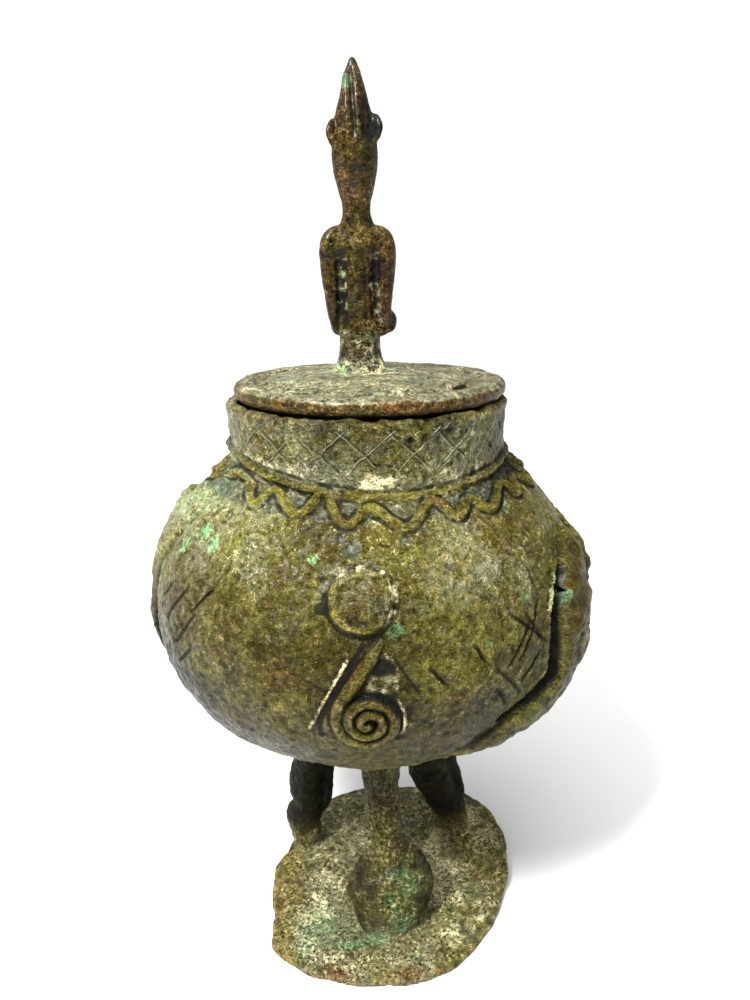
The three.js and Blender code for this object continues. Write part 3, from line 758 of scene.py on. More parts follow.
def raise_coils(wall):
    """The coils and their stems, over a sunk triangle with a chalky band, with pale lips and two cuts."""
    base, azimuth, z, fine, relief, layer = wall.parts()
    for side in COIL_AZIMUTHS:
        coil, coil_edge = strand(base, coil_stations(side))
        u = ((azimuth - side + 180) % 360 - 180) * DEGREE_AT_BELLY
        v = z - COIL_HEIGHT
        from_centre = np.hypot(u - 0.8, v)
        stem_side = u - (-9.0 + 0.52 * v)
        sink = ease(stem_side, 0, 3.5) * ease(from_centre, 8.6, 10.2) * (1 - ease(u, 9.5, 12.0))
        sink *= (1 - ease(v + 0.5 * u, 24, 29)) * ease(v, -1, 5)
        relief -= sink * (2.7 + 1.2 * lumps(base, 2.6, 9))
        band = ease(v, 9.0, 11.5) * (1 - ease(v + 1.5 * lumps(base, 3, 25), 15.5, 18.5))
        edge_band = bell(sink, 0.45, 0.28) * ease(v, 8, 12)
        chalk = np.clip(sink * band + 0.8 * edge_band, 0, 1)
        layer["cream"] += chalk * (0.5 + 0.5 * fine + 0.3 * lumps(base, 2.2, 27))
        layer["dark"] += 1.15 * sink * (1 - 0.6 * chalk)
        layer["green"] += 0.4 * sink * (1 - ease(v, 8, 13))
        relief += 1.4 * sink * band * ease(lumps(base, 3.2, 26), -0.4, 0.6)
        np.copyto(relief, np.maximum(relief, coil), where=coil > 0.05)
        layer["rust"] += 0.30 * ease(coil, 1.0, 2.4)
        layer["worn"] += 0.28 * ease(coil, 1.6, 2.6)
        layer["dark"] += 0.8 * bell(coil_edge, -0.1, 0.45)
        lip = bell(from_centre, 12.6, 0.8) * ease(u, 3, 7) * ease(v, -9, -4)
        lip += bell(stem_side, -8.6, 0.9) * ease(v, -8, -2) * (1 - ease(v, 22, 26))
        layer["cream"] += lip * (0.85 + 0.45 * fine)
        relief += 0.9 * lip
        stem_cut, stem_mask = groove(
            base, [(side - 0.4, 187), (side - 5.2, 174), (side - 9.6, 160), (side - 10.0, 152)], 1.3, 1.7
        )
        side_cut, side_mask = groove(base, [(side + 6.8, 181), (side + 9, 175), (side + 11.4, 169)], 0.8, 0.8)
        relief += stem_cut + side_cut
        layer["dark"] += stem_mask + side_mask


def raise_creatures(wall):
    """The creatures at the sides, with rough hides and a gap along the edge that faces the front, painted dark as
    shadow.
    """
    base, azimuth, z, fine, relief, layer = wall.parts()
    for lizard, is_right in ((RIGHT_LIZARD, True), (LEFT_LIZARD, False)):
        body, edge = lizard_relief(base, lizard)
        scales = 0.45 * rough(base, 3.6, 3, 3) * ease(body, 1.0, 3.0)
        hide = body + scales + 0.8 * ease(body, 1.0, 3.0) * rough(base, 9, 2, 17)
        np.maximum(relief, hide, out=relief)
        facing = ease(azimuth, 20, 30) * (1 - ease(azimuth, 62, 70)) if is_right else ease(azimuth, -80, -70)
        # The gap under the creature's front edge, sunk and painted dark as its shadow, paler where chalky
        gap = bell(edge, 1.3, 1.2) * facing
        gap *= (0.75 + 0.5 * fine) if is_right else 0.55
        relief -= (2.6 if is_right else 1.2) * gap
        chalky = ease(z, 181, 190) if is_right else ease(z, 186, 200)
        layer["dark"] += 1.2 * gap * (1 - 0.65 * chalky) + ease(body, 1, 3) * (0.28 - 0.3 * fine)
        layer["cream"] += 0.5 * gap * chalky * (0.8 + 0.6 * fine)
        layer["green"] += 0.45 * gap * chalky + 0.12 * ease(body, 1, 4)
        layer["rust"] += 0.3 * ease(body, 2, 4)


def cut_cracks(wall):
    """The crack beside the creature at the right, painted dark as the shadow in it, with its raised pale rim, and
    the cut strokes.
    """
    base, z, fine, relief, layer = wall.base, wall.z, wall.fine, wall.relief, wall.layer
    mask = strand(base, spline([(*station, 1.0) for station in CREVICE], 64))[0]
    relief -= CREVICE_DEPTH * mask * (0.8 + 0.3 * fine)
    chalky = ease(z, 178, 186)
    # Painted shadow in the crack, lighter where chalky
    layer["dark"] += 1.3 * mask * (1 - 0.5 * chalky)
    layer["cream"] += mask * chalky * (0.3 + 0.6 * fine)
    rim_line = strand(base, [(a - 3.2, h, 1.9, 0.8) for a, h, _ in CREVICE[:5]])[0]
    relief += rim_line * (0.7 + 0.5 * fine)
    layer["cream"] += 0.8 * rim_line * chalky * (0.8 + 0.8 * fine)
    layer["green"] += 0.6 * rim_line * chalky + 0.4 * mask * chalky

    for a0, z0, a1, z1 in INCISIONS:
        middle = ((a0 + a1) / 2 + 0.3, (z0 + z1) / 2 + 0.3)
        cut, mask = groove(base, [(a0, z0), middle, (a1, z1)], *INCISION_SIZE)
        relief += cut
        layer["dark"] += 0.4 * mask


def lay_patina(wall, on_cord):
    """Bloom, dirt, crust and stains over the wall, thinner on the cords, and painted light and shade: lighter up
    on the left, darker low down, low on the left and towards the right.
    """
    base, azimuth, z, fine, relief, layer = wall.parts()
    top = ease(z, 178, 214)
    left = ease(-azimuth, -30, 60)
    # Bloom heavier on top and on the left: partly the pale bloom itself, partly painted light from the upper left
    layer["bloom"] += top * (0.30 + 0.35 * left + 0.5 * lumps(base, 26, 31)) + 0.08
    # Darker low down and towards the right: painted shade
    layer["dark"] += (1 - ease(z, 128, 176)) * 0.16 + 0.12 * ease(azimuth, 30, 60)
    layer["cream"] += 0.08 * top * (0.4 + lumps(base, 19, 32))
    for spot in GREY_SPOTS:
        patch = blob(base, *spot)
        layer["slate"] += 0.95 * patch
        layer["dark"] += patch * (0.35 - 0.5 * fine)
        relief += 1.2 * patch * (1 - patch)
    for strengths, spots in BELLY_SPOTS:
        for spot in spots:
            cover = blob(base, *spot)
            for label, strength in strengths.items():
                layer[label] += strength * cover
    for label in ("cream", "bloom", "green", "slate", "dark"):
        layer[label] *= 1 - 0.75 * on_cord
    # Painted light and shade, partly the patina's own tone: by height, lighter up on the left, darker low on the
    # left, with clouds of tone at random
    layer["light_and_tone"] += np.interp(z, *np.transpose(LIGHT_AND_TONE_BY_HEIGHT)) * (1 - 0.45 * ease(azimuth, 28, 55))
    low_left_shade = ease(-azimuth, 20, 60) * (1 - ease(z, 150, 186))
    clouds = 0.35 * lumps(base, 30, 36) + 0.3 * lumps(base, 12, 37)
    layer["light_and_tone"] += 0.5 * top * left - 0.8 * low_left_shade + clouds
    layer["light_and_tone"] += 0.5 * ease(z, 234, 240) * lumps(base, 7, 38)


def make_belly_relief(base, settings):
    """All relief of the outer wall in millimetres, and the deposits and painted light and shade on it."""
    wall = Wall(base)
    on_cord = lay_cords(wall)
    raise_bosses(wall)
    raise_coils(wall)
    raise_creatures(wall)
    cut_cracks(wall)
    lay_patina(wall, on_cord)
    return wall.relief * settings.relief_scale, wall.layer


def standing_out(height, reach):
    """How far each point of a grid, looped along its rows, stands above the mean of eight around it."""
    rows = len(height)
    padded = np.pad(height, ((reach, reach), (0, 0)), mode="edge")
    total = np.zeros_like(height)
    for down in (0, reach, 2 * reach):
        for sideways in (-reach, 0, reach):
            total += np.roll(padded[down:down + rows], sideways, 1)
    return 1.125 * (height - total / 9)


def wall_piece(name, rings, facing, layers, looped):
    """A closed piece of the wall, with the whole wall's normals so that no seam shows between two pieces."""
    vertices, faces = capped_grid(rings, looped)
    normals = np.concatenate([facing.reshape(-1, 3), facing[:1].mean(1), facing[-1:].mean(1)])[:len(vertices)]
    padded = {label: np.append(values, [0, 0])[:len(vertices)] for label, values in layers.items()}
    piece = add_mesh(name, vertices, faces, padded)
    piece.data.normals_split_custom_set_from_vertices(normals.tolist())
    return piece


# Height of the row that belly and neck share
SEAM_HEIGHT = 188.0


def make_belly(settings):
    """The turned wall with its relief: a grid of section rows by azimuth columns, moved along its normals."""
    line, is_outer, spacing = belly_profile()
    r, z, outer = resample(line, is_outer, spacing)
    r, z, outer = r[1:-1], z[1:-1], outer[1:-1]
    columns = belly_columns()
    tangent = np.gradient(np.stack([r, z], -1), axis=0)
    tangent /= np.linalg.norm(tangent, axis=1)[:, None]
    out = azimuth_direction(columns)
    base = out[None] * r[:, None, None]
    base[..., 2] = z[:, None]
    normal = out[None] * tangent[:, 1][:, None, None]
    normal[..., 2] = -tangent[:, 0][:, None]
    shape = base.shape[:2]
    flat, push = base.reshape(-1, 3), normal.reshape(-1, 3)
    outside = np.repeat(outer, shape[1])
    height = 0.15 * lumps(flat, 12, 2)
    layers = {label: np.zeros(len(flat)) for label in LAYERS}
    relief, found = make_belly_relief(flat[outside], settings)
    skin = flat[outside]
    cast = 0.8 * lumps(skin, 42, 1) + 0.62 * rough(skin, 11, 3, 4) + 0.3 * rough(skin, 2.6, 2, 8)
    upper = ease(skin[:, 2], 175, 205)
    pitted = 0.75 * pits(skin, 6.5, 0.35, 60) + 0.45 * pits(skin, 3.4, 0.35, 70)
    cast -= settings.pitting * pitted * (0.4 + 0.6 * upper)
    rim_chips = ease(skin[:, 2], RIM - 2.5, RIM - 0.4) * 0.5 * rough(skin, 7, 2, 33)
    height[outside] = relief + cast - np.abs(rim_chips)
    for label, values in in_range(found).items():
        layers[label][outside] = values
    layers["worn"][outside] += 0.5 * ease(skin[:, 2], RIM - 2.6, RIM - 0.8)
    layers["dark"][~outside] = 0.6
    points = (flat + push * height[:, None]).reshape(*shape, 3)
    around = np.roll(points, -1, 1) - np.roll(points, 1, 1)
    along = np.gradient(points, axis=0)
    facing = np.cross(around, along)
    facing /= np.linalg.norm(facing, axis=-1)[..., None]
    above = np.flatnonzero(z > SEAM_HEIGHT)
    neck_rows = np.arange(above[0], above[-1] + 1)
    belly_rows = np.concatenate([np.arange(above[0] + 1), np.arange(above[-1], len(z))])
    grids = {label: values.reshape(shape) for label, values in layers.items()}
    proud = height.reshape(shape)
    # Painted shade and highlight from the relief: darker where a point lies below the wall round it, lighter
    # where it stands above it
    relief_shading = 1.5 * standing_out(proud, 1) + 1.3 * standing_out(proud, 3)
    grids["light_and_tone"] += outer[:, None] * np.clip(relief_shading, -0.8, 0.55)

    def piece(name, rows, looped):
        own = {label: values[rows] for label, values in grids.items()}
        return wall_piece(name, points[rows], facing[rows], own, looped)

    return [piece("belly", belly_rows, False), piece("neck", neck_rows, True)]


def plate_reach(azimuth):
    """The trimmed outline's reach from the plate's centre, eased between its named points."""
    azimuth = np.mod(azimuth, 360)
    angles, shares = np.array(PLATE_OUTLINE, float).T
    i = np.clip(np.searchsorted(angles, azimuth, side="right") - 1, 0, len(angles) - 2)
    t = ease(azimuth, angles[i], angles[i + 1])
    return PLATE_RADIUS * (shares[i] + (shares[i + 1] - shares[i]) * t)


def plate_lift(x, y):
    """How far the bend lifts the plate: eased from 0 to its rise along the bend's direction."""
    a = math.radians(PLATE_BEND_AZIMUTH)
    reach = x * math.sin(a) - y * math.cos(a)
    return PLATE_BEND_RISE * ease(reach, PLATE_BEND_START, PLATE_BEND_START + PLATE_BEND_LENGTH)


def foot_plate():
    """The plate: rings of its outline, over the rounded edge from the underside to the top, with the bend."""
    azimuth = np.linspace(0, 360, 240, endpoint=False)
    out = azimuth_direction(azimuth)
    reach = plate_reach(azimuth) + 0.5 * lumps(out * 40, 6, 90) + 0.3 * lumps(out * 40, 2.2, 91)
    section = [(share, 0) for share in (0.02, 0.2, 0.35, 0.5, 0.6, 0.7, 0.8, 0.9, 0.975)]
    section += [(0.995, 0.7), (1, PLATE_THICKNESS / 2), (0.993, PLATE_THICKNESS - 0.8)]
    section += [(share, PLATE_THICKNESS) for share in (0.975, 0.9, 0.8, 0.7, 0.6, 0.5, 0.35, 0.2, 0.02)]
    rings = np.stack([out * (share * reach)[:, None] + [*PLATE_CENTRE, z] for share, z in section])
    rings[..., 2] += plate_lift(rings[..., 0], rings[..., 1])
    return capped_grid(rings)


# Rear legs as x, y, z, half width and half depth: bulging limbs, and a thin strand beside the left one
REAR_LEGS = (
    ((-24, 13, 104.6, 11, 11), (-27, 14, 88, 8.5, 8), (-31, 15, 70, 8, 8), (-35.5, 18, 52, 8.5, 8),
     (-36.5, 19, 42, 8.8, 8), (-35.5, 19.5, 32.5, 7.2, 7.5), (-38.5, 20, 23, 9.4, 8), (-37.5, 20, 14, 8.4, 8),
     (-37, 20.5, 5, 7, 7.5), (-37, 20.5, 1, 8, 8)),
    ((22, 16, 104.6, 12, 12), (24.5, 18, 88, 9.5, 9), (27, 20, 70, 10, 9), (30.5, 24, 50, 11.2, 9),
     (35, 26, 36, 10.2, 8.5), (40.5, 27.5, 24, 9.6, 8.5), (43, 28.5, 14, 9.2, 8.5), (42.5, 29, 4, 10, 9),
     (42.5, 29, 1, 11, 10)),
    ((-21, 17, 100, 4, 4), (-22.5, 19, 70, 3.6, 3.6), (-24, 20, 48, 3.2, 3.2), (-25.5, 20.5, 34, 3, 3),
     (-31, 20, 24, 3, 3)),
    ((34, 20, 96, 4, 4), (39, 22, 66, 3.4, 3.4), (44.5, 25, 46, 3.0, 3.2), (47.5, 27, 34, 2.6, 3),
     (48, 28, 24, 2, 2)),
)


def front_leg():
    """A column that ends in a rounded knee, over a leaf-shaped foot."""
    a = math.radians(FRONT_LEG_AZIMUTH)
    out = np.array([math.sin(a), -math.cos(a), 0])
    side = np.array([math.cos(a), math.sin(a), 0])
    foot_x, foot_y = out[:2] * LEG_FOOT_RADIUS
    ground = PLATE_THICKNESS + float(plate_lift(foot_x, foot_y))

    def place(reach, sway, z, half_width, half_depth):
        return (*(out * reach + side * (FRONT_LEG_LEAN * sway))[:2], z, half_width, half_depth)

    def height(share):
        return ground + share * (BELLY_BOTTOM - ground)

    w, top = LEG_HALF_WIDTH, LEG_TOP_RADIUS
    column = limb([
        place(top, 0, BELLY_BOTTOM + 3.6, w * 1.5, w * 1.5),
        place(top, 0, height(0.97), w * 1.22, w * 1.2),
        place(top, 0, height(0.85), w, w * 0.95),
        place(top, 0.4, height(0.66), w * 0.95, w * 0.92),
        place(top + 2, 0.8, height(0.5), w * 0.9, w * 0.95),
        place(top + 4, 1, height(KNEE_SHARE), w * 0.82, w * 0.85),
        place(top + 5, 1, height(KNEE_SHARE - 0.09), w * 0.4, w * 0.45),
    ], side)
    f, d = FOOT_HALF_WIDTH, FOOT_HALF_DEPTH
    back = LEG_FOOT_RADIUS - 6
    foot = limb([
        place(back - 2, 1, height(FOOT_SHARE), f * 0.24, d * 0.5),
        place(back - 0.5, 1.1, height(FOOT_SHARE - 0.1), f * 0.46, d * 0.75),
        place(back + 1, 1.2, height(FOOT_SHARE - 0.2), f * 0.84, d),
        place(back + 2.5, 1.3, height(FOOT_SHARE - 0.32), f, d * 1.1),
        place(back + 4, 1, height(0.1), f * 0.86, d * 1.3),
        place(back + 4.5, 0.6, ground - 2, f * 0.62, d * 1.4),
    ], side)
    return [column, foot]


def make_feet(settings):
    """The legs and foot plate fused into one skin, roughened along its normals, with a flat underside."""
    rear_legs = [limb(stations, (1, 0, 0)) for stations in REAR_LEGS]
    piece = fuse("feet", [foot_plate(), *front_leg(), *rear_legs], settings.foot_grain, 4)
    points, normals = read_skin(piece.data)
    lift = plate_lift(points[:, 0], points[:, 1])
    z = points[:, 2] - lift
    above = ease(z, 1.2, 3.2)
    on_plate = 1 - ease(z, PLATE_THICKNESS + 1, PLATE_THICKNESS + 9)
    column = ease(z, 40, 60)
    height = 0.6 * rough(points, 7, 3, 101) + 0.34 * rough(points, 2.4, 2, 110)
    height -= 0.8 * pits(points, 6.0, 0.4, 120) + 0.5 * pits(points, 3.2, 0.4, 130)
    strands = np.sin(points @ np.array([2.6, 0.4, 0.12]) + 2.2 * lumps(points, 9, 44))
    forward = 1 - ease(points[:, 1], -22, -14)
    height += 0.32 * ease(z, 12, 30) * forward * strands
    height = height * np.where(on_plate > 0.5, 0.75, 1)
    points = points + normals * (height * above)[:, None]
    points[:, 2] = np.where(z < 0.9, lift, np.maximum(points[:, 2], 0.0))
    x, y = points[:, 0], points[:, 1]
    broad = rough(points, 15, 2, 150)
    blotch = rough(points, 7, 2, 160)
    from_hub = x - PLATE_CENTRE[0], y - PLATE_CENTRE[1]
    reach = plate_reach(np.degrees(np.arctan2(from_hub[0], -from_hub[1])))
    rim_band = ease(np.hypot(*from_hub) / reach + 0.03 * blotch, 0.9, 0.98)
    sideways = x + 5 * lumps(points, 7, 172) + 2.5 * lumps(points, 3, 173)
    from_rear_leg = np.minimum(np.hypot(x + 38, y - 20), np.hypot(x - 40, y - 27))
    left_band = ease(-x, 33, 41)
    front = 1 - ease(np.hypot(x - 8, y + 33), 22, 32)
    behind = 1 - front
    on_legs = 1 - on_plate
    front_foot = front * (1 - ease(z, 38, 50)) * ease(z, 4, 8)
    low_rear = behind * (1 - ease(z, 12, 26))

    def patch(x_middle, x_width, y_middle, y_width):
        return on_plate * bell(x, x_middle, x_width) * bell(y, y_middle, y_width)

    layers = {
        "cream": on_plate * (0.30 + 0.22 * broad + 0.2 * lumps(points, 4.5, 168)) * (1 - 0.75 * left_band)
        * (1 - 0.7 * rim_band) + 0.35 * patch(-25, 12, -36, 12) + 0.4 * patch(33, 9, -12, 14)
        + 0.25 * front_foot * (1 - ease(sideways, 0, 8)) * (0.6 + lumps(points, 2.4, 174))
        + 0.2 * low_rear + behind * on_legs * (0.16 + 0.3 * lumps(points, 3.0, 177)),
        # Dark legs, the rear ones most: partly dark patina, partly painted shade under the belly
        "dark": on_legs * (0.78 * (1 - 0.75 * front) * (1 - 0.55 * low_rear) + 0.12 * blotch)
        + on_plate * (0.30 - 0.16 * blotch - 0.3 * lumps(points, 2.6, 169))
        + 0.06 * on_plate * (1 - ease(from_rear_leg, 13, 22)) * (1 + lumps(points, 6, 171))
        + 0.16 * patch(44, 20, -34, 16) + 0.15 * on_plate * rim_band
        + front_foot * (0.34 * ease(-sideways, -7, 2) + 0.5 * ease(sideways, 19, 23))
        - 0.3 * front_foot * lumps(points, 4, 175),
        "green": front_foot * (0.02 + 0.3 * lumps(points, 5, 165) + 0.55 * ease(sideways, 3, 11))
        * (1 - 0.7 * ease(sideways, 18, 22))
        + 0.7 * on_plate * bell(sideways, -7, 12) * bell(y - 0.1 * sideways, -43, 3.5)
        + 0.3 * patch(-25, 14, -36, 13) + on_plate * (0.18 + 0.34 * lumps(points, 9, 166))
        + behind * on_legs * (0.18 + 0.4 * lumps(points, 5, 178)),
        "bloom": on_plate * (0.55 + 0.3 * lumps(points, 17, 167)) + 0.8 * patch(-25, 13, -38, 11)
        + 0.35 * front_foot,
        "rust": on_plate * (0.05 + 0.55 * ease(lumps(points, 9, 170), 0.3, 0.9) + 0.4 * rim_band * forward)
        + 0.45 * front_foot * ease(lumps(points, 5, 176), 0.1, 0.7) * (1 - ease(sideways, 2, 8))
        + 0.6 * patch(44, 9, -8, 6) + 0.6 * on_plate * bell(np.abs(x), 15, 8) * bell(y, -58, 4),
        "slate": on_plate * (0.22 + 0.4 * lumps(points, 11, 180)),
        # Painted light and shade, partly the patina's own tone: a lighter plate, more to the right, darker legs
        # under the belly, and the cast roughness lighter on its bumps than in its dips
        "light_and_tone": on_plate * (0.35 + 0.2 * broad + 0.75 * ease(x, 8, 34)) - 0.55 * front_foot
        + 0.5 * (rough(points, 2.4, 2, 110) - 0.3)
        - front * column * (0.5 + 0.6 * ease(z, 62, 84)) - 1.2 * behind * ease(z, 14, 30),
        "worn": on_plate * (0.25 + 0.3 * left_band) + 0.3 * ease(z, 0.8, 2) * (1 - ease(z, 3, 4)),
    }
    write_skin(piece.data, points, in_range(layers))
    return piece


def lid_disc():
    """The lid's turned section: locating ring, rounded edge, lip, groove and dome."""
    bore = NECK_RADIUS - NECK_WALL
    underside = RIM + LID_GAP
    ceiling = LID_TOP - 5
    lip = LID_RADIUS - 9
    section = [
        (0.5, ceiling + 2), (28, ceiling + 1), (bore - 6.9, ceiling), (bore - 6.9, underside - 4.5),
        (bore - 2.4, underside - 4.5), (bore - 2.4, underside), (LID_RADIUS - 2.6, underside),
        (LID_RADIUS - 0.8, underside + 0.9), (LID_RADIUS, underside + 2.6), (LID_RADIUS, LID_TOP - 2.4),
        (LID_RADIUS - 0.8, LID_TOP - 0.8), (LID_RADIUS - 2.6, LID_TOP), (lip + 1.2, LID_TOP - 0.1),
        (lip, LID_TOP - 1.5), (lip - 3.2, LID_TOP - 1.5), (lip - 5, LID_TOP + 0.3), (28, LID_TOP + 1.9),
        (14, LID_TOP + LID_DOME_RISE - 0.4), (0.5, LID_TOP + LID_DOME_RISE),
    ]
    out = azimuth_direction(np.linspace(0, 360, 160, endpoint=False))
    rings = np.stack([out * r + [*LID_SHIFT, z] for r, z in section])
    return capped_grid(rings)


def figure_shapes():
    """Trunk and head, shoulders, bent arms with forearms across the far side, and disc eyes."""
    x0, y0 = LID_SHIFT[0] + FIGURE_SHIFT[0], LID_SHIFT[1] + FIGURE_SHIFT[1]

    def at(share, dx, dy, half_width, half_depth):
        x = x0 - FIGURE_LEAN * share + dx
        return (x, y0 + dy, FIGURE_FOOT + FIGURE_HEIGHT * share, half_width, half_depth)

    trunk = limb([
        at(-0.06, 0, 0, 14, 12), at(0.01, 0, 0, 10.6, 9.4), at(0.06, 0, 0, 8.7, 7.8), at(0.14, 0, 0, 8.2, 7),
        at(0.22, 0, 0, 8.0, 6.0), at(0.34, 0, 0, 8.6, 5.8), at(0.42, 0, 0, 11.0, 6.2), at(0.47, 0, 0, 8.4, 5.6),
        at(0.515, 0, 0, 5.9, 5.2), at(0.56, 0, 0, 5.6, 5.2), at(0.60, 0, 0, 6.8, 6.0), at(0.66, 0, 0, 8.4, 7.2),
        at(0.72, 0, 0, 8.8, 7.7), at(0.78, 0, 0, 8.0, 7.0), at(0.84, 0, 0, 6.7, 5.8), at(0.90, 0, 0, 5.0, 4.4),
        at(0.95, 0, 0, 3.2, 3.0), at(0.985, 0, 0, 1.7, 1.6), at(1.0, 0, 0, 0.7, 0.7),
    ], (1, 0, 0), 90, 36)
    shapes = [trunk]
    r = 3.6
    for hand in (-1, 1):
        drop = 0.012 if hand > 0 else 0
        shapes.append(limb([
            at(0.475, hand * 6.5, 0, r * 0.7, r * 0.9), at(0.44, hand * 10.6, -0.4, r * 1.05, r * 1.15),
            at(0.36, hand * 11.5, -1, r * 0.98, r * 1.1), at(0.26, hand * 10.3, -1, r * 0.92, r),
            at(0.175 - drop, hand * 9.2, 0.5, r * (1 + hand * 0.16), r),
            at(0.145, hand * 8, 6, r * 0.9, r * 0.9), at(0.16, hand * 3.4, 8.4, r * 0.7, r * 0.6),
        ], (0.9, -0.4, 0.1), 50, 20))
        x, y, z = at(0.79 if hand > 0 else 0.775, hand * 7.6, 0, 1, 1)[:3]
        shapes.append(ball((x, y - 1.2, z), (2.0, 5.0, 5.2), 32 * hand))
        shapes.append(ball((x + hand * 1.6, y - 2.0, z), (1.5, 2.3, 2.3), 32 * hand))
    hand_x, hand_y, hand_z = at(0.17, 12.6, 2.5, 1, 1)[:3]
    shapes.append(ball((hand_x, hand_y, hand_z), (3.0, 4.0, 4.6)))
    return shapes


def make_lid(settings):
    """The disc and figure fused into one skin, with the face's groove, arm recesses and cast roughness."""
    piece = fuse("lid_and_figure", [lid_disc(), *figure_shapes()], settings.lid_grain, 3)
    points, normals = read_skin(piece.data)
    x = points[:, 0] - LID_SHIFT[0] - FIGURE_SHIFT[0]
    y = points[:, 1] - LID_SHIFT[1]
    z = points[:, 2]
    ahead = -normals[:, 1]
    share = (z - FIGURE_FOOT) / FIGURE_HEIGHT
    on_figure = ease(share, 0.015, 0.06) * (1 - ease(np.hypot(x, y), 24, 27))
    from_axis = np.hypot(points[:, 0] - LID_SHIFT[0], points[:, 1] - LID_SHIFT[1])
    on_top = ease(z, LID_TOP - 2.5, LID_TOP - 1) * (1 - on_figure)
    fine = rough(points, 2.0, 3, 210)
    broad = rough(points, 10, 3, 220)
    height = 0.16 * rough(points, 3, 3, 230) + 0.25 * lumps(points, 8, 240) - 0.35 * pits(points, 3.0, 0.4, 250)
    edge_band = ease(from_axis, LID_RADIUS - 4, LID_RADIUS - 1)
    height += on_top * 0.25 * rough(points, 6, 3, 260) - edge_band * 0.35 * pits(points, 5.5, 0.5, 270)
    middle = x + FIGURE_LEAN * share
    bend = middle + 0.6 + 0.5 * np.sin(14 * share)
    beak = (1 - ease(np.abs(bend), 0.3, 1.0)) * ease(share, 0.74, 0.79) * (1 - ease(share, 0.95, 0.985))
    brow = bell(np.abs(bend), 2.2, 1.1) * ease(share, 0.72, 0.78) * (1 - ease(share, 0.93, 0.97))
    beak *= ease(ahead, 0.1, 0.5)
    recess = 1 - ease(np.abs(np.abs(middle) - 6.6 + 4 * (share - 0.3)), 1.2, 2.6)
    recess *= ease(share, 0.16, 0.2) * (1 - ease(share, 0.38, 0.43)) * ease(ahead, -0.1, 0.3)
    spine = (1 - ease(np.abs(middle), 1.2, 3.2)) * ease(share, 0.18, 0.24) * (1 - ease(share, 0.4, 0.48))
    in_groove = (1 - ease(np.abs(from_axis - 45.4), 1.6, 3.0)) * on_top
    groove_pits = in_groove * ease(lumps(points, 9, 280), 0.0, 0.5)
    height += 0.7 * brow - 0.9 * beak - recess * (0.9 - 0.5 * rough(points, 1.8, 2, 232))
    height += 0.6 * spine * ease(ahead, 0.2, 0.8) - 1.4 * groove_pits
    under = 1 - ease(z, RIM + 0.5, RIM + 1.4)
    points = points + normals * (height * (1 - under))[:, None]
    stump = ease(share, -0.02, 0.0) * (1 - ease(share, 0.11, 0.2)) * (1 - ease(np.hypot(x, y), 13, 17))
    head_spot = (1 - ease(np.hypot(middle + 3.5, 1.4 * (z - 373)), 2.5, 5)) * ease(ahead, 0, 0.4)
    crusted_eye = 1 - ease(np.hypot(middle - 8.5, FIGURE_HEIGHT * (share - 0.79)), 3.5, 6.5)
    throat = (1 - ease(np.hypot(1.3 * middle, FIGURE_HEIGHT * (share - 0.645)), 3, 7)) * ease(ahead, 0, 0.5)
    layers = {
        "dark": 0.8 * beak + 0.5 * throat + 0.45 * crusted_eye * (1 - fine) + recess * (0.22 - 0.6 * fine)
        + groove_pits + edge_band * (0.3 - 0.4 * fine) + on_figure * (0.24 - 0.36 * broad - 0.15 * fine)
        # The underside below the rim is painted dark as the shade in the gap under the lid
        + 0.7 * under + 0.25 * on_top * (0.4 - broad),
        "cream": stump * (0.26 + 0.3 * fine) + on_top * (0.20 + 0.2 * broad) + recess * (0.44 + 0.4 * fine)
        + 0.05 * on_figure * (1 + 2 * fine) + 0.3 * crusted_eye,
        "green": stump * (0.35 + 0.25 * broad) + recess * (0.42 + 0.3 * fine) + 0.85 * head_spot
        + 0.4 * crusted_eye + on_top * (0.1 + 0.3 * lumps(points, 12, 285)),
        "bloom": on_top * (1.0 + 0.2 * broad) + 0.5 * stump,
        "slate": 0.15 * on_top + 0.2 * edge_band,
        # The lid's upward-facing top painted lighter as light from above; the figure darker in its own brown
        "light_and_tone": 0.8 * on_top - 1.05 * on_figure * (1 - 0.3 * stump) + on_figure * (0.35 * broad + 0.35 * fine),
        "rust": edge_band * (0.35 + 0.4 * lumps(points, 7, 290)) + on_figure * (0.3 + 0.3 * broad),
        # Gold on the figure, more on its upward-facing skin as a painted highlight from above, and on the
        # shoulders as wear
        "worn": on_figure * (0.3 * ease(normals[:, 2], 0.2, 0.8) + 0.2)
        + 0.4 * on_figure * ease(share, 0.40, 0.44) * (1 - ease(share, 0.47, 0.53)),
    }
    write_skin(piece.data, points, in_range(layers))
    return piece


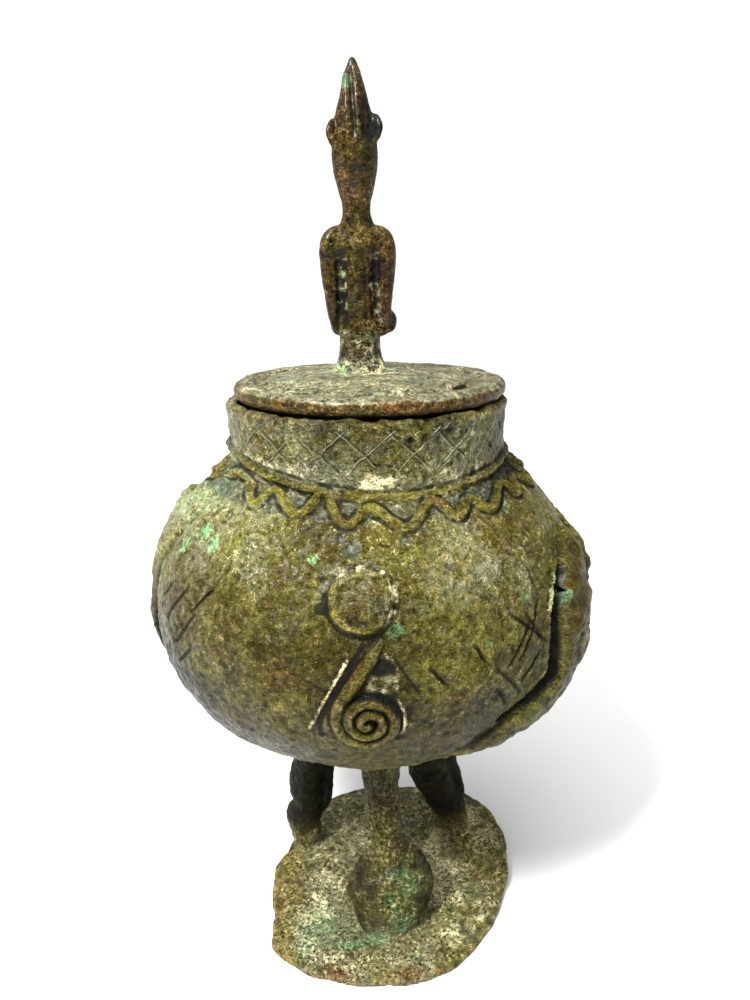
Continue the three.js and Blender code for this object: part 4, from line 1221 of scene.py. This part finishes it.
class Nodes:
    """A short way to build one material's node tree."""

    def __init__(self, name):
        self.material = bpy.data.materials.new(name)
        self.material.use_nodes = True
        self.tree = self.material.node_tree
        self.tree.nodes.clear()
        coordinates = self.add("ShaderNodeTexCoord")
        scale = self.add("ShaderNodeVectorMath", operation="SCALE")
        self.tree.links.new(coordinates.outputs["Object"], scale.inputs[0])
        scale.inputs["Scale"].default_value = 1 / MM
        self.place = scale.outputs[0]

    def add(self, kind, **settings):
        node = self.tree.nodes.new(kind)
        for label, value in settings.items():
            setattr(node, label, value)
        return node

    def put(self, socket, value):
        if isinstance(value, bpy.types.NodeSocket):
            self.tree.links.new(value, socket)
        else:
            socket.default_value = value

    def noise(self, size, detail=3.0, roughness=0.55, distortion=0.0, place=None):
        """Noise in 0..1 whose lumps are the given size in millimetres."""
        node = self.add("ShaderNodeTexNoise")
        self.put(node.inputs["Vector"], place or self.place)
        self.put(node.inputs["Scale"], 1 / size)
        self.put(node.inputs["Detail"], detail)
        self.put(node.inputs["Roughness"], roughness)
        self.put(node.inputs["Distortion"], distortion)
        return node.outputs["Fac"]

    def vector(self, operation, a, b=(0, 0, 0)):
        node = self.add("ShaderNodeVectorMath", operation=operation)
        self.put(node.inputs[0], a)
        self.put(node.inputs[1], b)
        return node.outputs[0]

    def axes(self, vector):
        """The three parts of a vector."""
        node = self.add("ShaderNodeSeparateXYZ")
        self.put(node.inputs[0], vector)
        return tuple(node.outputs)

    def math(self, operation, a, b=0.0, c=0.0):
        node = self.add("ShaderNodeMath", operation=operation)
        for socket, value in zip(node.inputs, (a, b, c)):
            self.put(socket, value)
        return node.outputs[0]

    def ramp(self, value, low, high, bottom=0.0, top=1.0):
        """Eased from bottom to top as the value goes from low to high."""
        node = self.add("ShaderNodeMapRange", interpolation_type="SMOOTHSTEP")
        for label, number in (("From Min", low), ("From Max", high), ("To Min", bottom), ("To Max", top)):
            node.inputs[label].default_value = number
        self.put(node.inputs["Value"], value)
        return node.outputs["Result"]

    def times(self, a, b):
        return self.math("MULTIPLY", a, b)

    def layer(self, label):
        node = self.add("ShaderNodeAttribute", attribute_name=label)
        return node.outputs["Fac"]

    def blend(self, factor, a, b):
        """Colour a where the factor is 0 and b where it is 1."""
        node = self.add("ShaderNodeMix", data_type="RGBA")
        for socket, value in ((node.inputs[0], factor), (node.inputs[6], a), (node.inputs[7], b)):
            colour = not isinstance(value, (bpy.types.NodeSocket, float, int))
            self.put(socket, (*value, 1) if colour else value)
        return node.outputs[2]

    def mix(self, factor, a, b):
        node = self.add("ShaderNodeMix", data_type="FLOAT")
        for socket, value in ((node.inputs[0], factor), (node.inputs[2], a), (node.inputs[3], b)):
            self.put(socket, value)
        return node.outputs[0]


def granular(n, label, grain, speck, reach=0.4):
    """A deposit's cover: its layer broken into granules by fine noise, 1 where it hides the metal."""
    loose = n.math("MULTIPLY_ADD", n.math("SUBTRACT", grain, 0.5), 1.9, n.layer(label))
    loose = n.math("MULTIPLY_ADD", n.math("SUBTRACT", speck, 0.5), 1.7, loose)
    return n.ramp(loose, 0.5 - reach / 2, 0.5 + reach)


def turn_and_height(n):
    """The angle round the axis in radians, 0 at the front, and the height in millimetres."""
    x, y, z = n.axes(n.place)
    return n.math("ARCTAN2", x, n.times(y, -1)), z


def lozenge_lines(n):
    """Crossing thin lines round the neck, pale ones and dark lines of painted shadow just beside them, 1 on a
    line.
    """
    turn, height = turn_and_height(n)
    low, full, fading, high = LOZENGE_BAND
    wander = n.times(n.math("SUBTRACT", n.noise(14, 2), 0.5), 0.35)
    around = n.math("MULTIPLY_ADD", turn, 360 / LOZENGE_WIDTH / (2 * math.pi), wander)
    along = n.times(n.math("SUBTRACT", height, 236.0), 1 / LOZENGE_HEIGHT)
    band = n.times(n.ramp(height, low, full), n.ramp(height, fading, high, 1, 0))
    kept = n.times(band, n.ramp(n.noise(9, 3), 0.32, 0.46))
    families = []
    # The first family is the pale lines; the second, shifted a little, is their painted shadow
    for middle in (0.5, 0.565):
        lines = []
        for operation in ("ADD", "SUBTRACT"):
            phase = n.math("FRACT", n.math(operation, around, along))
            lines.append(n.ramp(n.math("ABSOLUTE", n.math("SUBTRACT", phase, middle)), 0.014, 0.04, 1, 0))
        families.append(n.times(n.math("MAXIMUM", *lines), kept))
    return families


def incised_lines(n):
    """Soot in the cut strokes: each is a thin box on the belly's unrolled surface, 1 on the stroke."""
    turn, height = turn_and_height(n)
    sheet = n.add("ShaderNodeCombineXYZ")
    wander = n.times(n.math("SUBTRACT", n.noise(5, 2), 0.5), 0.5)
    n.put(sheet.inputs[0], n.math("MULTIPLY_ADD", turn, BELLY_RADIUS, wander))
    n.put(sheet.inputs[1], height)
    strongest = 0.0
    for a0, z0, a1, z1 in INCISIONS:
        u0, u1 = a0 * DEGREE_AT_BELLY, a1 * DEGREE_AT_BELLY
        turned = n.add("ShaderNodeVectorRotate", rotation_type="Z_AXIS")
        middle = ((u0 + u1) / 2, (z0 + z1) / 2, 0)
        n.put(turned.inputs["Vector"], n.vector("SUBTRACT", sheet.outputs[0], middle))
        n.put(turned.inputs["Angle"], -math.atan2(z1 - z0, u1 - u0))
        shrink = (2 / math.hypot(u1 - u0, z1 - z0), 1 / 0.62, 0)
        along, across, _ = n.axes(n.vector("ABSOLUTE", n.vector("MULTIPLY", turned.outputs[0], shrink)))
        inside = n.ramp(n.math("MAXIMUM", along, across), 0.45, 1.0, 1, 0)
        strongest = n.math("MAXIMUM", inside, strongest)
    return n.times(strongest, n.ramp(height, 212, 214, 1, 0))


def bronze_material(
    name, settings, skin, marks=None, *, gleam, grain_shading, speckle, sooty, fineness, depth, lacquer
):
    """Patinated bronze: a mottled skin of the given colour and brown, under its deposits, with painted shade and
    highlight from the grain's height and from the layer of painted light and tone.

    The last values are a finish, as named with the finishes above, and marks adds pale lines and dark ones, which
    are cut lines and painted shadow beside the pale lines."""
    n = Nodes(name)
    grain = n.noise(0.8 * fineness, 4, 0.65)
    speck = n.noise(2.7 * fineness, 4, 0.62, 0.4)
    patch = n.noise(11, 4, 0.62, 0.5)
    broad = n.noise(31, 3, 0.55)
    scored = n.noise(3.4 * fineness, 3, 0.6, 1.2, n.vector("MULTIPLY", n.place, (1, 1, 1.8)))
    height = n.math("MULTIPLY_ADD", grain, 0.34, n.times(speck, 0.36))
    height = n.math("MULTIPLY_ADD", scored, 0.30, height)
    colour = n.blend(n.ramp(broad, 0.40, 0.62), settings.brown, skin)
    colour = n.blend(n.times(n.ramp(patch, 0.46, 0.66), 0.5), colour, settings.brown)
    warm = n.times(n.ramp(n.noise(8, 3), 0.52, 0.66), n.ramp(broad, 0.60, 0.42))
    colour = n.blend(n.times(warm, 0.45), colour, settings.copper)
    cover = {label: granular(n, label, grain, speck) for label in ("slate", "cream", "green", "rust", "dark")}
    cover["bloom"] = granular(n, "bloom", n.noise(2.2, 5, 0.6), patch, 0.7)
    cover["worn"] = granular(n, "worn", grain, speck, 0.6)
    for label, strength, tint in DEPOSITS:
        colour = n.blend(n.times(cover[label], strength), colour, getattr(settings, tint))
    colour = n.blend(n.times(n.ramp(height, 0.53, 0.58), speckle), colour, settings.cream)
    colour = n.blend(n.times(n.ramp(height, 0.46, 0.39), sooty), colour, settings.soot_and_shade)
    colour = n.blend(n.times(cover["dark"], 0.94), colour, settings.soot_and_shade)
    # Painted shade and highlight: the colour darkened where the grain's height is low and lightened where it is
    # high, then scaled by the layer of painted light and tone
    shading = n.ramp(height, 0.40, 0.60, 1 - 0.45 * grain_shading, 1 + 0.4 * grain_shading)
    lit = n.add("ShaderNodeVectorMath", operation="SCALE")
    n.put(lit.inputs[0], colour)
    n.put(lit.inputs["Scale"], n.times(shading, n.math("MULTIPLY_ADD", n.layer("light_and_tone"), 0.5, 1.0)))
    colour = lit.outputs[0]
    relief = n.math("MULTIPLY_ADD", cover["cream"], 0.10, height)
    relief = n.math("MULTIPLY_ADD", cover["dark"], -0.08, relief)
    if marks:
        pale, cut = marks(n)
        colour = n.blend(n.times(pale, 0.75), colour, settings.pale_green)
        colour = n.blend(n.times(cut, 0.93), colour, settings.soot_and_shade)
        relief = n.math("SUBTRACT", relief, n.times(n.math("MAXIMUM", pale, cut), 0.35))
    bump = n.add("ShaderNodeBump")
    n.put(bump.inputs["Strength"], 1.0)
    n.put(bump.inputs["Distance"], depth * MM)
    n.put(bump.inputs["Height"], relief)
    crusted = n.math("MAXIMUM", cover["slate"], cover["cream"])
    crusted = n.math("MAXIMUM", crusted, n.math("MAXIMUM", cover["green"], cover["dark"]))
    shader = n.add("ShaderNodeBsdfPrincipled")
    n.put(shader.inputs["Base Color"], colour)
    n.put(shader.inputs["Metallic"], n.mix(crusted, gleam, 0.05))
    n.put(shader.inputs["Roughness"], n.mix(crusted, n.ramp(speck, 0.35, 0.65, 0.42, 0.24), 0.75))
    n.put(shader.inputs["Specular IOR Level"], 0.12)
    n.put(shader.inputs["Coat Weight"], lacquer)
    n.put(shader.inputs["Coat Roughness"], 0.28)
    n.put(shader.inputs["Normal"], bump.outputs[0])
    output = n.add("ShaderNodeOutputMaterial")
    n.put(output.inputs[0], shader.outputs[0])
    return n.material


def belly_marks(n):
    """Lozenge lines on the neck with painted shadow beside them, and soot in the belly's cut strokes."""
    pale, edges = lozenge_lines(n)
    return n.times(pale, 0.8), n.math("MAXIMUM", incised_lines(n), n.times(edges, 0.6))


def plain_material(name, colour, roughness):
    """A matt studio surface."""
    material = bpy.data.materials.new(name)
    material.use_nodes = True
    shader = material.node_tree.nodes["Principled BSDF"]
    shader.inputs["Base Color"].default_value = (*colour, 1)
    shader.inputs["Roughness"].default_value = roughness
    return material


class POT_OT_vessel(bpy.types.Operator):
    """Makes the belly with its relief, and the legs on their foot plate"""

    bl_idname = "pot.vessel"
    bl_label = "Make the vessel"

    def execute(self, context):
        settings = context.scene.pot
        wall = make_belly(settings)
        wall_bronze = bronze_material("belly_bronze", settings, settings.bronze, belly_marks, **BELLY_FINISH)
        for piece in wall:
            piece.data.materials.append(wall_bronze)
        feet = make_feet(settings)
        feet.data.materials.append(bronze_material("feet_bronze", settings, settings.bronze, **FEET_FINISH))
        for piece in (*wall, feet):
            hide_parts("vessel")
            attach(piece, "root")
        return {"FINISHED"}


class POT_OT_lid(bpy.types.Operator):
    """Makes the lid's disc and the figure on it"""

    bl_idname = "pot.lid"
    bl_label = "Make the lid"

    def execute(self, context):
        settings = context.scene.pot
        lid = make_lid(settings)
        lid.data.materials.append(bronze_material("lid_bronze", settings, settings.copper, **LID_FINISH))
        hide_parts("lid")
        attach(lid, "root")
        return {"FINISHED"}


def add_camera():
    """A camera at the photograph's place: short lens, close to the pot, above the lid and looking down."""
    data = bpy.data.cameras.new("camera")
    data.sensor_fit = "VERTICAL"
    data.sensor_height = SENSOR_HEIGHT
    data.lens = CAMERA_LENS
    data.clip_start = 0.01
    camera = bpy.data.objects.new("camera", data)
    bpy.context.scene.collection.objects.link(camera)
    pitch, roll = math.radians(CAMERA_PITCH), math.radians(CAMERA_ROLL)
    ahead = Vector((0, math.cos(pitch), -math.sin(pitch)))
    level_up = Vector((0, math.sin(pitch), math.cos(pitch)))
    right = math.cos(roll) * Vector((1, 0, 0)) + math.sin(roll) * level_up
    up = math.cos(roll) * level_up - math.sin(roll) * Vector((1, 0, 0))
    turn = Matrix((right, up, -ahead)).transposed().to_4x4()
    camera.matrix_world = Matrix.Translation(Vector(CAMERA_PLACE) * MM) @ turn
    bpy.context.scene.camera = camera


def add_light(name, place, target, size, power):
    """A square softbox aimed at a point, all in metres and watts."""
    data = bpy.data.lights.new(name, "AREA")
    data.size = size
    data.energy = power
    lamp = bpy.data.objects.new(name, data)
    bpy.context.scene.collection.objects.link(lamp)
    lamp.location = place
    lamp.rotation_euler = (Vector(target) - Vector(place)).to_track_quat("-Z", "Y").to_euler()


class POT_OT_stage(bpy.types.Operator):
    """Makes the pale floor, the studio light and the camera"""

    bl_idname = "pot.stage"
    bl_label = "Make the stage"

    def execute(self, context):
        corners = np.array([(-1, -1, 0), (1, -1, 0), (1, 1, 0), (-1, 1, 0)]) * FLOOR_REACH / MM
        floor = add_mesh("floor", corners, [(0, 1, 2, 3)])
        floor.data.materials.append(plain_material("pale_floor", FLOOR_COLOUR, FLOOR_ROUGHNESS))
        world = bpy.data.worlds.new("studio")
        context.scene.world = world
        world.use_nodes = True
        sky = world.node_tree.nodes["Background"]
        sky.inputs["Color"].default_value = (1, 1, 1, 1)
        path = world.node_tree.nodes.new("ShaderNodeLightPath")
        strength = world.node_tree.nodes.new("ShaderNodeMapRange")
        strength.inputs["To Min"].default_value = WORLD_AS_LIGHT
        strength.inputs["To Max"].default_value = WORLD_TO_CAMERA
        world.node_tree.links.new(path.outputs["Is Camera Ray"], strength.inputs["Value"])
        world.node_tree.links.new(strength.outputs["Result"], sky.inputs["Strength"])
        context.scene.view_settings.view_transform = "Standard"
        sun = bpy.data.lights.new("sun", "SUN")
        sun.energy = SUN_POWER
        sun.angle = math.radians(SUN_SPREAD)
        high = bpy.data.objects.new("sun", sun)
        context.scene.collection.objects.link(high)
        high.rotation_euler = Vector(SUN_DIRECTION).to_track_quat("-Z", "Y").to_euler()
        add_light("key", KEY_PLACE, KEY_TARGET, KEY_SIZE, KEY_POWER)
        add_camera()
        return {"FINISHED"}


class POT_PT_panel(bpy.types.Panel):
    """The pot's pieces, in the order in which they are made"""

    bl_idname = "POT_PT_panel"
    bl_label = "Lidded pot"
    bl_space_type = "VIEW_3D"
    bl_region_type = "UI"
    bl_category = "Pot"

    def draw(self, context):
        for operator in OPERATORS:
            self.layout.operator(operator.bl_idname)
        for label in PotSettings.__annotations__:
            self.layout.prop(context.scene.pot, label)


OPERATORS = (POT_OT_vessel, POT_OT_lid, POT_OT_stage)


def register():
    for item in (PotSettings, *OPERATORS, POT_PT_panel):
        bpy.utils.register_class(item)
    bpy.types.Scene.pot = bpy.props.PointerProperty(type=PotSettings)


def unregister():
    del bpy.types.Scene.pot
    for item in (POT_PT_panel, *reversed(OPERATORS), PotSettings):
        bpy.utils.unregister_class(item)


def main():
    register()
    bpy.ops.pot.vessel()
    bpy.ops.pot.lid()
    bpy.ops.pot.stage()


if __name__ == "__main__":
    main()
